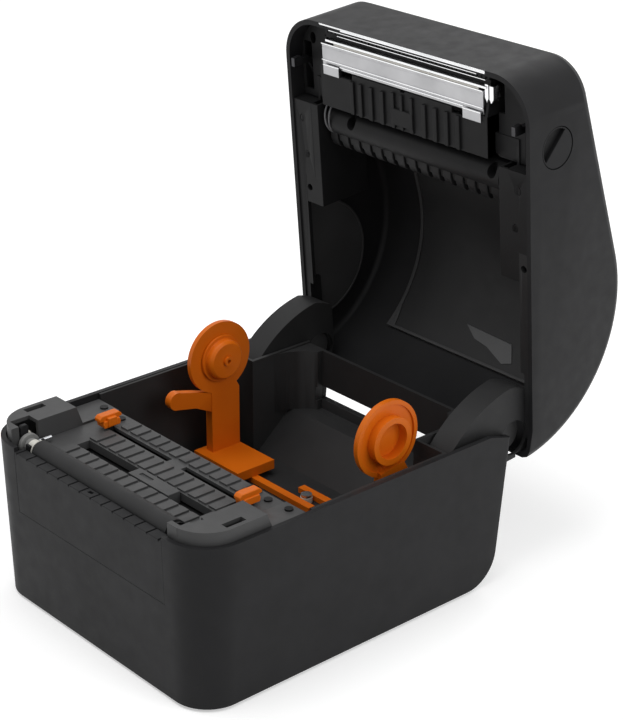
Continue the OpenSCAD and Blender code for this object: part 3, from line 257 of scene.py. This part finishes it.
def add_floor():
    mesh = bpy.data.meshes.new("floor")
    bm = bmesh.new()
    bmesh.ops.create_grid(bm, x_segments=1, y_segments=1, size=FLOOR_HALF)
    bm.to_mesh(mesh)
    bm.free()
    floor = bpy.data.objects.new("floor", mesh)
    scene.collection.objects.link(floor)
    mat, tree, bsdf = new_material("floor_white")
    bsdf.inputs["Base Color"].default_value = (FLOOR_GREY, FLOOR_GREY, FLOOR_GREY, 1)
    bsdf.inputs["Roughness"].default_value = 0.9
    glow = tree.nodes.new("ShaderNodeEmission")
    glow.inputs["Strength"].default_value = FLOOR_GLOW
    add = tree.nodes.new("ShaderNodeAddShader")
    tree.links.new(bsdf.outputs[0], add.inputs[0])
    tree.links.new(glow.outputs[0], add.inputs[1])
    out = next(n for n in tree.nodes if n.type == "OUTPUT_MATERIAL")
    mix_seen(tree, bsdf, add, out)
    mesh.materials.append(mat)

def add_world():
    world = bpy.data.worlds.new("studio")
    world.use_nodes = True
    scene.world = world
    tree = world.node_tree
    tree.nodes.clear()
    shades = []
    for strength in (SOFT_LIGHT, WHITE):
        shade = tree.nodes.new("ShaderNodeBackground")
        shade.inputs["Color"].default_value = (1, 1, 1, 1)
        shade.inputs["Strength"].default_value = strength
        shades.append(shade)
    mix_seen(tree, *shades, tree.nodes.new("ShaderNodeOutputWorld"))

def add_lamp(name, place, aim, size, power):
    lamp = bpy.data.lights.new(name, "AREA")
    lamp.shape = "RECTANGLE"
    lamp.size, lamp.size_y = size
    lamp.energy = power
    set_up(bpy.data.objects.new(name, lamp), place, Vector(aim) - Vector(place))

add_floor()
add_world()
for lamp_row in LAMPS:
    add_lamp(*lamp_row)

# ---------------------------------------------------------------- pieces from meshes
EDGE_ANGLE, SMOOTH_ANGLE = 32.0, 35.0   # edges sharper than these are rounded, or stay crisp
LID_EDGE_ANGLE = 50.0                   # leaves out the shallow creases on the lid's shoulders
COPY_BEVEL = 0.35
WELD = 2e-6
FLAT = math.radians(0.6)

def finish_mesh(name, bm, mat, body, bevel, segments=2, angle=EDGE_ANGLE):
    """Turns a bmesh in metres into a piece with rounded edges that rides on a body."""
    mesh = bpy.data.meshes.new(name)
    bm.to_mesh(mesh)
    bm.free()
    obj = bpy.data.objects.new(name, mesh)
    scene.collection.objects.link(obj)
    mesh.materials.append(MATS[mat])
    if bevel > 0:
        mod = obj.modifiers.new("edges", "BEVEL")
        mod.width = bevel / 1000
        mod.segments = segments
        mod.limit_method = "ANGLE"
        mod.angle_limit = math.radians(angle)
        mod.use_clamp_overlap = True
        mod.harden_normals = True
    mesh.shade_smooth()
    mesh.set_sharp_from_angle(angle=math.radians(SMOOTH_ANGLE))
    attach(obj, body)
    return obj

def rounded_copy(node, angle=EDGE_ANGLE, cutter=None):
    """The node's own form with its moulded edges rounded, less a cutter in mm."""
    bm = bmesh.new()
    bm.from_mesh(nodes[node].data)
    if cutter:
        bmesh.ops.remove_doubles(bm, verts=bm.verts, dist=WELD)
        bm.transform(BASE.inverted())
        bm = carved(bm, cutter)
        bm.transform(BASE)
    bmesh.ops.remove_doubles(bm, verts=bm.verts, dist=WELD)
    bmesh.ops.dissolve_limit(bm, angle_limit=FLAT, verts=bm.verts, edges=bm.edges)
    piece = finish_mesh(node + "_form", bm, LOOK[node], body_with[node],
                        COPY_BEVEL, angle=angle)
    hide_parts(node)

def solid(name, bm, mat, body, place, bevel, replaced=(), segments=2):
    """A piece from a bmesh in mm. Without a slot, it takes the one that its material is named for."""
    bmesh.ops.recalc_face_normals(bm, faces=bm.faces)
    bm.transform(place)
    piece = finish_mesh(name, bm, mat, body, bevel, segments)
    if replaced:
        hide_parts(*replaced)

def strand(name, points, r, place, body, mat):
    """A smooth round strand through the points."""
    curve = bpy.data.curves.new(name, "CURVE")
    curve.dimensions = "3D"
    curve.bevel_depth = r / 1000
    curve.bevel_resolution = 4
    curve.use_fill_caps = True
    spline = curve.splines.new("BEZIER")
    spline.bezier_points.add(len(points) - 1)
    for point, co in zip(spline.bezier_points, points):
        point.co = place @ Vector(co)
        point.handle_left_type = point.handle_right_type = "AUTO"
    obj = bpy.data.objects.new(name, curve)
    scene.collection.objects.link(obj)
    curve.materials.append(MATS[mat])
    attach(obj, body)

# ---------------------------------------------------------------- solids, in mm
def joined(bm, low, high):
    """Closes two equal loops of vertices into a solid."""
    count = len(low)
    bm.faces.new(low)
    bm.faces.new(high[::-1])
    for i in range(count):
        j = (i + 1) % count
        bm.faces.new((low[i], high[i], high[j], low[j]))

def prism(bm, outline, x0, x1):
    """A solid along X from an outline in (y, z)."""
    joined(bm, *[[bm.verts.new((x, y, z)) for y, z in outline] for x in (x0, x1)])

def plate(bm, outline, z0, z1):
    """A solid along Z from an outline in (x, y)."""
    joined(bm, *[[bm.verts.new((x, y, z)) for x, y in outline] for z in (z0, z1)])

def block(bm, low, high):
    """A box from its low corner to its high one."""
    prism(bm, [(low[1], low[2]), (high[1], low[2]), (high[1], high[2]), (low[1], high[2])],
          low[0], high[0])

def side_block(bm, side, x_range, y_range, z_range):
    """A box on one side of the middle."""
    low_x, high_x = sorted(side * x for x in x_range)
    block(bm, (low_x, y_range[0], z_range[0]), (high_x, y_range[1], z_range[1]))

def mirrored(side, points):
    return [(side * x, y) for x, y in points]

def arc(centre, r, start, end, steps, squash=1.0):
    turns = [math.radians(start + (end - start) * i / steps) for i in range(steps + 1)]
    return [(centre[0] + r * math.cos(t), centre[1] + r * squash * math.sin(t)) for t in turns]

def circle(centre, r, steps=36, squash=1.0):
    return arc(centre, r, 0, 360, steps, squash)[:-1]

def carved(stock, cutter):
    """The stock less the cutter. It uses both up."""
    parts = []
    for label, source in (("stock", stock), ("cutter", cutter)):
        bmesh.ops.recalc_face_normals(source, faces=source.faces)
        mesh = bpy.data.meshes.new(label)
        source.to_mesh(mesh)
        source.free()
        obj = bpy.data.objects.new(label, mesh)
        scene.collection.objects.link(obj)
        parts.append(obj)
    mod = parts[0].modifiers.new("cut", "BOOLEAN")
    mod.object = parts[1]
    mod.operation = "DIFFERENCE"
    mod.solver = "EXACT"
    mod.use_self = True
    evaluated = parts[0].evaluated_get(bpy.context.evaluated_depsgraph_get())
    cut = bpy.data.meshes.new_from_object(evaluated)
    result = bmesh.new()
    result.from_mesh(cut)
    bmesh.ops.dissolve_limit(result, angle_limit=FLAT, verts=result.verts, edges=result.edges)
    for obj in parts:
        bpy.data.objects.remove(obj)
    bpy.data.meshes.remove(cut)
    return result

# ---------------------------------------------------------------- moulded forms, edges rounded
def add_moulded_forms():
    for node in ("base_tub", "front_panel", "top_frame", "media_well", "gear_cover_left",
                 "media_bed", "lid_frame", "hinge_arm_left", "hinge_arm_right", "cable_cover",
                 "spool_holder_left", "spool_holder_right", "spool_hub_left", "spool_hub_right",
                 "media_sensor", "feed_button"):
        rounded_copy(node)
    rounded_copy("lid_shell", angle=LID_EDGE_ANGLE)
    recesses = bmesh.new()
    block(recesses, (68.6, -107.4, 105), (72.8, -104.6, 112))
    plate(recesses, [(73.2, -102.6), (76.4, -101.4), (77.8, -94.4), (74.8, -94.0)], 105, 112)
    rounded_copy("cap_right", cutter=recesses)

add_moulded_forms()

# ---------------------------------------------------------------- printhead
HEAD_X = (-70.0, 62.0)
HEAD_OUTLINE = [
    (-101.0, 108), (-101.0, 104.5), (-98.9, 104.4), (-98.8, 104.55), (-98.6, 104.55),
    (-98.5, 104.4), (-91.2, 104.4), (-86.9, 104.7),
    (-86.9, 107.5), (-90, 112.5), (-101, 112.5)]
TABS = ((-68.3, -55.0), (47.2, 61.1))
STEP_EDGES = ((-91.2, HEAD_X), (-89.2, (-54.6, 47.0)))  # front of each painted highlight strip, and its ends
HEAD_TOP = 110.5

def add_heat_sink():
    """The extrusion, its front rail and the two tabs below it, with near-white strips on its edges as
    painted highlights.
    """
    bm = bmesh.new()
    prism(bm, HEAD_OUTLINE, *HEAD_X)
    prism(bm, [(-104.1, 104.3), (-102.7, 104.1), (-102.7, 110), (-104.1, 110)],
          HEAD_X[0] + 5, HEAD_X[1] + 2)
    for x0, x1 in TABS:
        block(bm, (x0, -88.2, 103.0), (x1, -82.5, 103.7))
    solid("heat_sink", bm, "head_alloy", "head", LID, 0.12, ("printhead",))
    # Near-white strips on the heat sink's steps, rail and tabs: painted highlight.
    bm = bmesh.new()
    prism(bm, [(-104.2, 104.2), (-104.0, 103.7), (-102.8, 103.6), (-102.6, 104.1)],
          HEAD_X[0] + 4, HEAD_X[1] + 3)
    prism(bm, [(-101.2, 104.6), (-101.2, 103.7), (-100.5, 103.7), (-100.5, 104.6)], *HEAD_X)
    for y, (x0, x1) in STEP_EDGES:
        block(bm, (x0, y, 103.75), (x1, y + 0.55, 104.6))
    for x0, x1 in TABS:
        block(bm, (x0, -88.6, 102.8), (x1, -88.0, 103.8))
    solid("heat_sink_edge_highlights", bm, "metal_and_painted_highlight", "head", LID, 0.1)

def add_head_end():
    """The two upright leaves at the head's right end."""
    bm = bmesh.new()
    plate(bm, [(63.4, -105.3), (65.9, -105.3), (65.9, -97.4), (64.9, -94.8), (63.4, -97.6)],
          104.4, 111.0)
    plate(bm, [(66.4, -104.6), (69.4, -104.6), (69.4, -97.2), (67.7, -94.4), (66.4, -96.8)],
          104.8, 111.0)
    block(bm, (61.8, -104, 107), (66.8, -95, HEAD_TOP))
    solid("heat_sink_end", bm, "metal_and_painted_highlight", "head", LID, 0.2)

def add_head_covers():
    """The strip in front of the head in near-white metal, partly painted highlight; black blocks in
    the gaps round it as painted shade; and the heater strip.
    """
    # Near-white strip in front of the head, partly painted highlight for a thin bright line.
    bm = bmesh.new()
    block(bm, (-56, -107.8, 104.3), (64, -107.35, 108.5))
    solid("head_shield", bm, "metal_and_painted_highlight", "head", LID, 0.08)
    # Black blocks in the gaps in front of the heat sink: painted shade.
    bm = bmesh.new()
    block(bm, (-68, -107.3, 106.5), (66, -104.2, HEAD_TOP))
    block(bm, (-66, -102.6, 105.6), (62, -101.2, HEAD_TOP))
    solid("head_gap_painted_shade", bm, "black_plastic", "head", LID, 0.1)
    bm = bmesh.new()
    block(bm, (-59, -102.5, 103.9), (59, -101.4, 104.6))
    solid("heater_strip", bm, "ceramic", "head", LID, 0.05, ("head_element",))

add_heat_sink()
add_head_end()
add_head_covers()

# ---------------------------------------------------------------- tear bar, and black teeth in the gap behind it as painted shade
TEAR_END = 67.0
GAP_SHADE_TEETH, GAP_SHADE_PITCH = 20, 3.2   # teeth on either side of the middle one

def add_tear_bar():
    bm = bmesh.new()
    prism(bm, [(-114.4, 101.25), (-114.4, 100.7), (-114.0, 100.55), (-113.75, 101.0),
               (-113.4, 101.0), (-113.4, 101.25)], -67.3, TEAR_END)
    prism(bm, [(-113.5, 101.25), (-113.3, 100.7), (-112.7, 100.7), (-112.4, 101.25)],
          -49, TEAR_END)
    prism(bm, [(-111.45, 101.4), (-110.9, 101.4), (-110.9, 106.5), (-111.45, 106.5)], -60, 60)
    solid("tear_strip", bm, "metal_and_painted_highlight", "lid", LID, 0.06, ("tear_bar",))
    # A black band with teeth in the gap behind the tear bar: painted shade.
    bm = bmesh.new()
    block(bm, (-66, -110.7, 104.4), (TEAR_END, -108.6, 109))
    for i in range(-GAP_SHADE_TEETH, GAP_SHADE_TEETH + 1):
        x = i * GAP_SHADE_PITCH
        block(bm, (x - 1.0, -110.6, 103.2), (x + 1.0, -108.9, 104.6))
    solid("tear_gap_painted_shade", bm, "black_plastic", "lid", LID, 0.15)

add_tear_bar()

# ---------------------------------------------------------------- ribbed panel that carries the head
PANEL_X = (-72.0, 65.0)
PANEL_T = 2
PANEL_Y, PANEL_Z = (-86.4, -62.0), 104.0
RIB_X = (-44, -37, -28, -18.5, 16, 25, 34, 43)
RIB_HALF, RIB_ROOT = 1.5, 104.2
GRILLE_BARS = ((-10.7, -8.2), (-3.4, -1.2), (4.5, 7))

def add_head_panel():
    bm = bmesh.new()
    block(bm, (PANEL_X[0], PANEL_Y[0], PANEL_Z), (PANEL_X[1], PANEL_Y[1], 106.4))
    for x in (PANEL_X[0], PANEL_X[1] - PANEL_T):
        prism(bm, [(PANEL_Y[0], PANEL_Z), (PANEL_Y[1], PANEL_Z), (PANEL_Y[1], 118),
                   (PANEL_Y[0], 118)], x, x + PANEL_T)
    notches = bmesh.new()
    for x0, x1 in ((-55, -44.5), (37.6, 47.2)):
        block(notches, (x0, -90, 100), (x1, -82.8, 112))
    block(notches, (-3.6, -88, 100), (-0.4, -85.2, 110))
    bm = carved(bm, notches)
    for x in RIB_X:
        block(bm, (x - RIB_HALF, -82.6, 102.6), (x + RIB_HALF, -62.4, RIB_ROOT))
    block(bm, (-10.7, -74.7, 102.4), (7, -65, RIB_ROOT))
    for x0, x1 in GRILLE_BARS:
        block(bm, (x0, -84.0, 102.6), (x1, -74.4, RIB_ROOT))
        block(bm, (x0, -65.2, 102.9), (x1, -62.4, RIB_ROOT))
    for x in (PANEL_X[0], PANEL_X[1] - PANEL_T):
        prism(bm, [(-62, 104.2), (-86, 104.2), (-104, 108.5), (-104, 122.3), (-78, 122.3),
                   (-62, 116)], x, x + PANEL_T)
    block(bm, (PANEL_X[0], -104, 120.4), (PANEL_X[1], -79, 122.4))
    for x0, x1 in ((-81.5, -71.5), (64.5, 81.5)):
        block(bm, (x0, -76, 110.3), (x1, -63.5, 113.2))
    solid("head_panel", bm, "inner", "lid", LID, 0.35, ("head_carrier",))

add_head_panel()

# ---------------------------------------------------------------- lip, comb and wires by the panel
LIP, LIP_R = (-50.3, 114.4), 9.0
COMB_TEETH, COMB_PITCH = 7, 9.6    # teeth on either side of the middle one
WIRE_R = 0.6

def add_lip():
    bm = bmesh.new()
    prism(bm, arc(LIP, LIP_R, 180, 360, 28) + [(-41.3, 117), (-59.3, 117)], -72, 71.5)
    holes = bmesh.new()
    for x in (-50, 65.6):
        plate(holes, circle((x, -54.4), 3.3, 28, 1.25), 100, 112.5)
    solid("paper_lip", carved(bm, holes), "inner", "lid", LID, 0.3, ("comb_bar",))
    bm = bmesh.new()
    for i in range(-COMB_TEETH, COMB_TEETH + 1):
        x = i * COMB_PITCH
        prism(bm, [(-46, 108.0), (-40, 108.4), (-36.4, 109.6), (-34.4, 111.6), (-34.2, 114.6),
                   (-44, 116)], x - 4.0, x + 2.2)
        prism(bm, [(-45, 108.6), (-38.8, 109.8), (-37.6, 112), (-38, 114.4), (-44, 116)],
              x + 2.4, x + 5.2)
    solid("lip_comb", bm, "inner", "lid", LID, 0.45)

def add_head_wires():
    """Two short loops that the photo shows at the head's left end."""
    strand("head_wire_a", [(-71.6, -64, 112), (-71.8, -60, 107), (-71.4, -53, 104.8),
                           (-70.0, -46, 106.5), (-69, -42, 112)],
           WIRE_R, LID, "lid", "wire")
    strand("head_wire_b", [(-68.6, -64, 112), (-68.0, -60, 107), (-67.9, -54, 104.8),
                           (-68.2, -46, 106.5), (-69, -42, 112.5)],
           WIRE_R, LID, "lid", "wire")

add_lip()
add_head_wires()

# ---------------------------------------------------------------- plates beside the head and the roll
LEDGE_X, LEDGE_Y = (75, 89.7), (-61, 5)
LEDGE_Z, LEDGE_T = 102.2, 1.8

def add_ledge(side, label):
    """The flat ledge beside the roll, with the wall that falls from its inner edge."""
    bm = bmesh.new()
    plate(bm, mirrored(side, [(LEDGE_X[0], LEDGE_Y[0]), (LEDGE_X[1], LEDGE_Y[0]),
                              (LEDGE_X[1], LEDGE_Y[1]), (LEDGE_X[0], LEDGE_Y[1])]),
          LEDGE_Z, 104.2)
    wall_x = LEDGE_X[0] + LEDGE_T
    plate(bm, mirrored(side, [(LEDGE_X[0], LEDGE_Y[0]), (wall_x, LEDGE_Y[0]),
                              (wall_x, LEDGE_Y[1]), (LEDGE_X[0], LEDGE_Y[1])]), LEDGE_Z, 140)
    holes = bmesh.new()
    if side < 0:
        plate(holes, circle((side * 86.6, -5.0), 2.1, 28), 100, 106)
    plate(holes, circle((side * 86.6, -32.0), 1.5, 28, 2.2), 100, 106)
    solid("side_ledge_" + label, carved(bm, holes), "inner", "lid", LID, 0.3)

def add_corner_plate(side, label):
    """The plate in the lid's front corner, with its screw hole and latch window."""
    bm = bmesh.new()
    plate(bm, mirrored(side, [(72, -111)] + arc((73.5, -88.5), 22.5, -90, 0, 12)
                       + [(96, -62), (67.4, -62), (67.4, -88), (72, -88)]), 111.0, 112.8)
    holes = bmesh.new()
    plate(holes, circle((side * 85.4, -99.0), 2.4, 28, 1.5), 105, 120)
    plate(holes, mirrored(side, [(87, -96), (93.6, -96), (93.6, -66), (87, -66)]), 105, 120)
    solid("corner_plate_" + label, carved(bm, holes), "inner", "lid", LID, 0.3)

for side, label in SIDES:
    add_ledge(side, label)
    add_corner_plate(side, label)

# ---------------------------------------------------------------- liner of the roll space
CURVE = (29.2, 92.0)               # centre of the liner's curve, in (y, z)
LINER_R, LINER_FACE_R = 82.2, 80.3
RIDGE_R = 79.2
LINER_EDGE_R = 79.4
LINER_X = (-60, 93)
LINER_FRONT, LINER_TURN = -36, 101.3
SLOPE = math.tan(math.radians(11.3))
# A lighter patch on the liner's face where lamp light falls through past the hinge: a painted pool of
# light.
LIGHT_PATCH = [(-4.3, 80.8), (34.8, 81.9), (41.7, 89.6), (35.0, 91.3), (18.1, 87.1), (6.7, 85.9)]
LIGHT_PATCH_R = (79.9, 81.0)
DISH = (50, 112)
DISH_X = -96.6

def liner_path(r, end):
    """The straight slope from the front, then the curve round the roll."""
    tip = arc(CURVE, r, LINER_TURN, end, 44)
    return [(LINER_FRONT, tip[0][1] - (tip[0][0] - LINER_FRONT) * SLOPE)] + tip

def on_curve(y, r):
    return CURVE[1] + math.sqrt(r * r - (y - CURVE[0]) ** 2)

def add_liner():
    bm = bmesh.new()
    prism(bm, liner_path(LINER_R, 35.9) + liner_path(LINER_FACE_R, 35.9)[::-1], *LINER_X)
    # The liner's lighter plastic is painted fill light.
    solid("roll_liner", bm, "liner", "lid", LID, 0.4)
    # The ridge and the edge strip take the lighter bed plastic: painted highlight along the liner's
    # edges.
    bm = bmesh.new()
    prism(bm, liner_path(LINER_R, 35.0) + liner_path(RIDGE_R, 35.0)[::-1], -61.6, -59.2)
    fan = [(y, z, i / 8) for i, (y, z) in enumerate(arc(CURVE, 81.5, 48, 35.0, 8))]
    fan += [(y, z, 1 - i / 8) for i, (y, z) in enumerate(arc(CURVE, LINER_EDGE_R, 35.0, 48, 8))]
    joined(bm, [bm.verts.new((-60, y, z)) for y, z, t in fan],
           [bm.verts.new((-59.6 + 4.6 * t, y, z)) for y, z, t in fan])
    solid("liner_ridge", bm, "bed", "lid", LID, 0.7, segments=3)
    bm = bmesh.new()
    prism(bm, arc(CURVE, LINER_R, 36.4, 35.0, 2) + arc(CURVE, LINER_EDGE_R, 35.0, 36.4, 2), -58, 93)
    solid("liner_edge", bm, "bed", "lid", LID, 0.4)
    # The lighter patch on the liner: painted light.
    bm = bmesh.new()
    joined(bm, *[[bm.verts.new((x, y, on_curve(y, r))) for x, y in LIGHT_PATCH] for r in LIGHT_PATCH_R])
    solid("liner_painted_light_patch", bm, "satin", "lid", LID, 0.12)

def add_roll_dish():
    """The shallow round dish in the lid's left wall, with its rim."""
    bm = bmesh.new()
    prism(bm, arc(DISH, 39.5, -8, 188, 56), DISH_X, -95.5)
    prism(bm, arc(DISH, 39.9, -8, 188, 56) + arc(DISH, 38.6, 188, -8, 56), DISH_X, -95.0)
    # The dish's lighter bed plastic is painted light.
    solid("roll_dish", bm, "bed", "lid", LID, 0.3)

add_liner()
add_roll_dish()

# ---------------------------------------------------------------- knuckles in the arms' windows
KNUCKLE, KNUCKLE_R, KNUCKLE_X = (122.5, 90.0), 10.3, (80.0, 86.0)

def add_knuckle(side, label):
    bm = bmesh.new()
    prism(bm, circle(KNUCKLE, KNUCKLE_R, 48), side * KNUCKLE_X[0], side * KNUCKLE_X[1])
    # The knuckle's lighter bed plastic is painted light.
    solid("knuckle_" + label, bm, "bed", "lid", BASE, 0.5)

for side, label in SIDES:
    add_knuckle(side, label)

# ---------------------------------------------------------------- small parts beside the platen
PLATEN = (-100.6, 96.6)

def add_platen_parts():
    bm = bmesh.new()
    prism(bm, [(-104.2, 94), (-98.8, 94), (-98.8, 106.6), (-99.8, 107.8), (-103.2, 107.8),
               (-104.2, 106.6)], -78, -75.4)
    solid("platen_cheek", bm, "housing", "base", BASE, 0.5)
    strand("guide_rod", [(-69.5, y, 98.6) for y in (-96.5, -92, -88.0)], 1.0, BASE,
           "base", "steel")
    bm = bmesh.new()
    prism(bm, circle(PLATEN, 6.6, 44), -74.4, -71.8)
    prism(bm, circle(PLATEN, 4.4), -71.9, -68.5)
    solid("platen_disc", bm, "disc_grey", "platen", BASE, 0.4)

add_platen_parts()

# ---------------------------------------------------------------- label guides and their racks
GUIDE_CAP = [(-60.3, 101.4), (-60.3, 103.4), (-58.6, 104.9), (-46.4, 104.9), (-44.6, 103.2),
             (-44.6, 101.9), (-46.6, 101.4)]
GUIDE_BODY = [(-57.8, 97.35), (-58.4, 99.6), (-57.6, 101.8), (-47.0, 101.8), (-46.2, 99.6),
              (-46.8, 97.35)]
GUIDE_FACE = [(-55.6, 98.2), (-55.6, 103.6), (-49.6, 103.6), (-49.0, 98.2)]
STEM_Y = (-53.7, -50.3)
RACK_Z = (91.2, 93.4)
RACK_W = 3
RACK_Y = {"left": -58, "right": -49}

def add_guide(side, label):
    """A guide above the bed, and below it the stem, arm and rack that the gear drives."""
    bm = bmesh.new()
    prism(bm, GUIDE_CAP, side * 60.2, side * 65.6)
    prism(bm, GUIDE_BODY, side * 59.0, side * 66.4)
    prism(bm, GUIDE_FACE, side * 58.0, side * 60.6)
    solid("guide_" + label, bm, "orange", "guide_" + label, BASE, 0.55,
          ("label_guide_" + label,), segments=3)
    rack_y = RACK_Y[label]
    arm_y = (min(rack_y, STEM_Y[0]), max(rack_y + RACK_W, STEM_Y[1]))
    bm = bmesh.new()
    side_block(bm, side, (60.5, 64.5), STEM_Y, (RACK_Z[0], 97.6))
    side_block(bm, side, (59.5, 64.5), arm_y, RACK_Z)
    side_block(bm, side, (-10, 62), (rack_y, rack_y + RACK_W), RACK_Z)
    solid("guide_rack_" + label, bm, "black_plastic", "guide_" + label, BASE, 0.2)

for side, label in SIDES:
    add_guide(side, label)

# ---------------------------------------------------------------- release tabs, recessed for a finger
TAB, TAB_R = (-71.5, 123.1), 11.9
RECESS_R, RECESS_FLOOR_R = 10.9, 10.7

def add_release_tab(side, label):
    node = "release_tab_" + label
    bm = bmesh.new()
    prism(bm, circle(TAB, TAB_R, 72), side * 95.6, side * 99.3)
    recess = bmesh.new()
    prism(recess, arc(TAB, RECESS_R, 145, 305, 40), side * 96.4, side * 101)
    solid("tab_" + label, carved(bm, recess), "housing", "latch", LID, 0.4, (node,))
    # A black floor in the finger recess: painted shade.
    bm = bmesh.new()
    prism(bm, arc(TAB, RECESS_FLOOR_R, 146, 304, 40), side * 96.3, side * 96.7)
    solid("tab_recess_painted_shade_" + label, bm, "black_plastic", "latch", LID, 0.0)

for side, label in SIDES:
    add_release_tab(side, label)
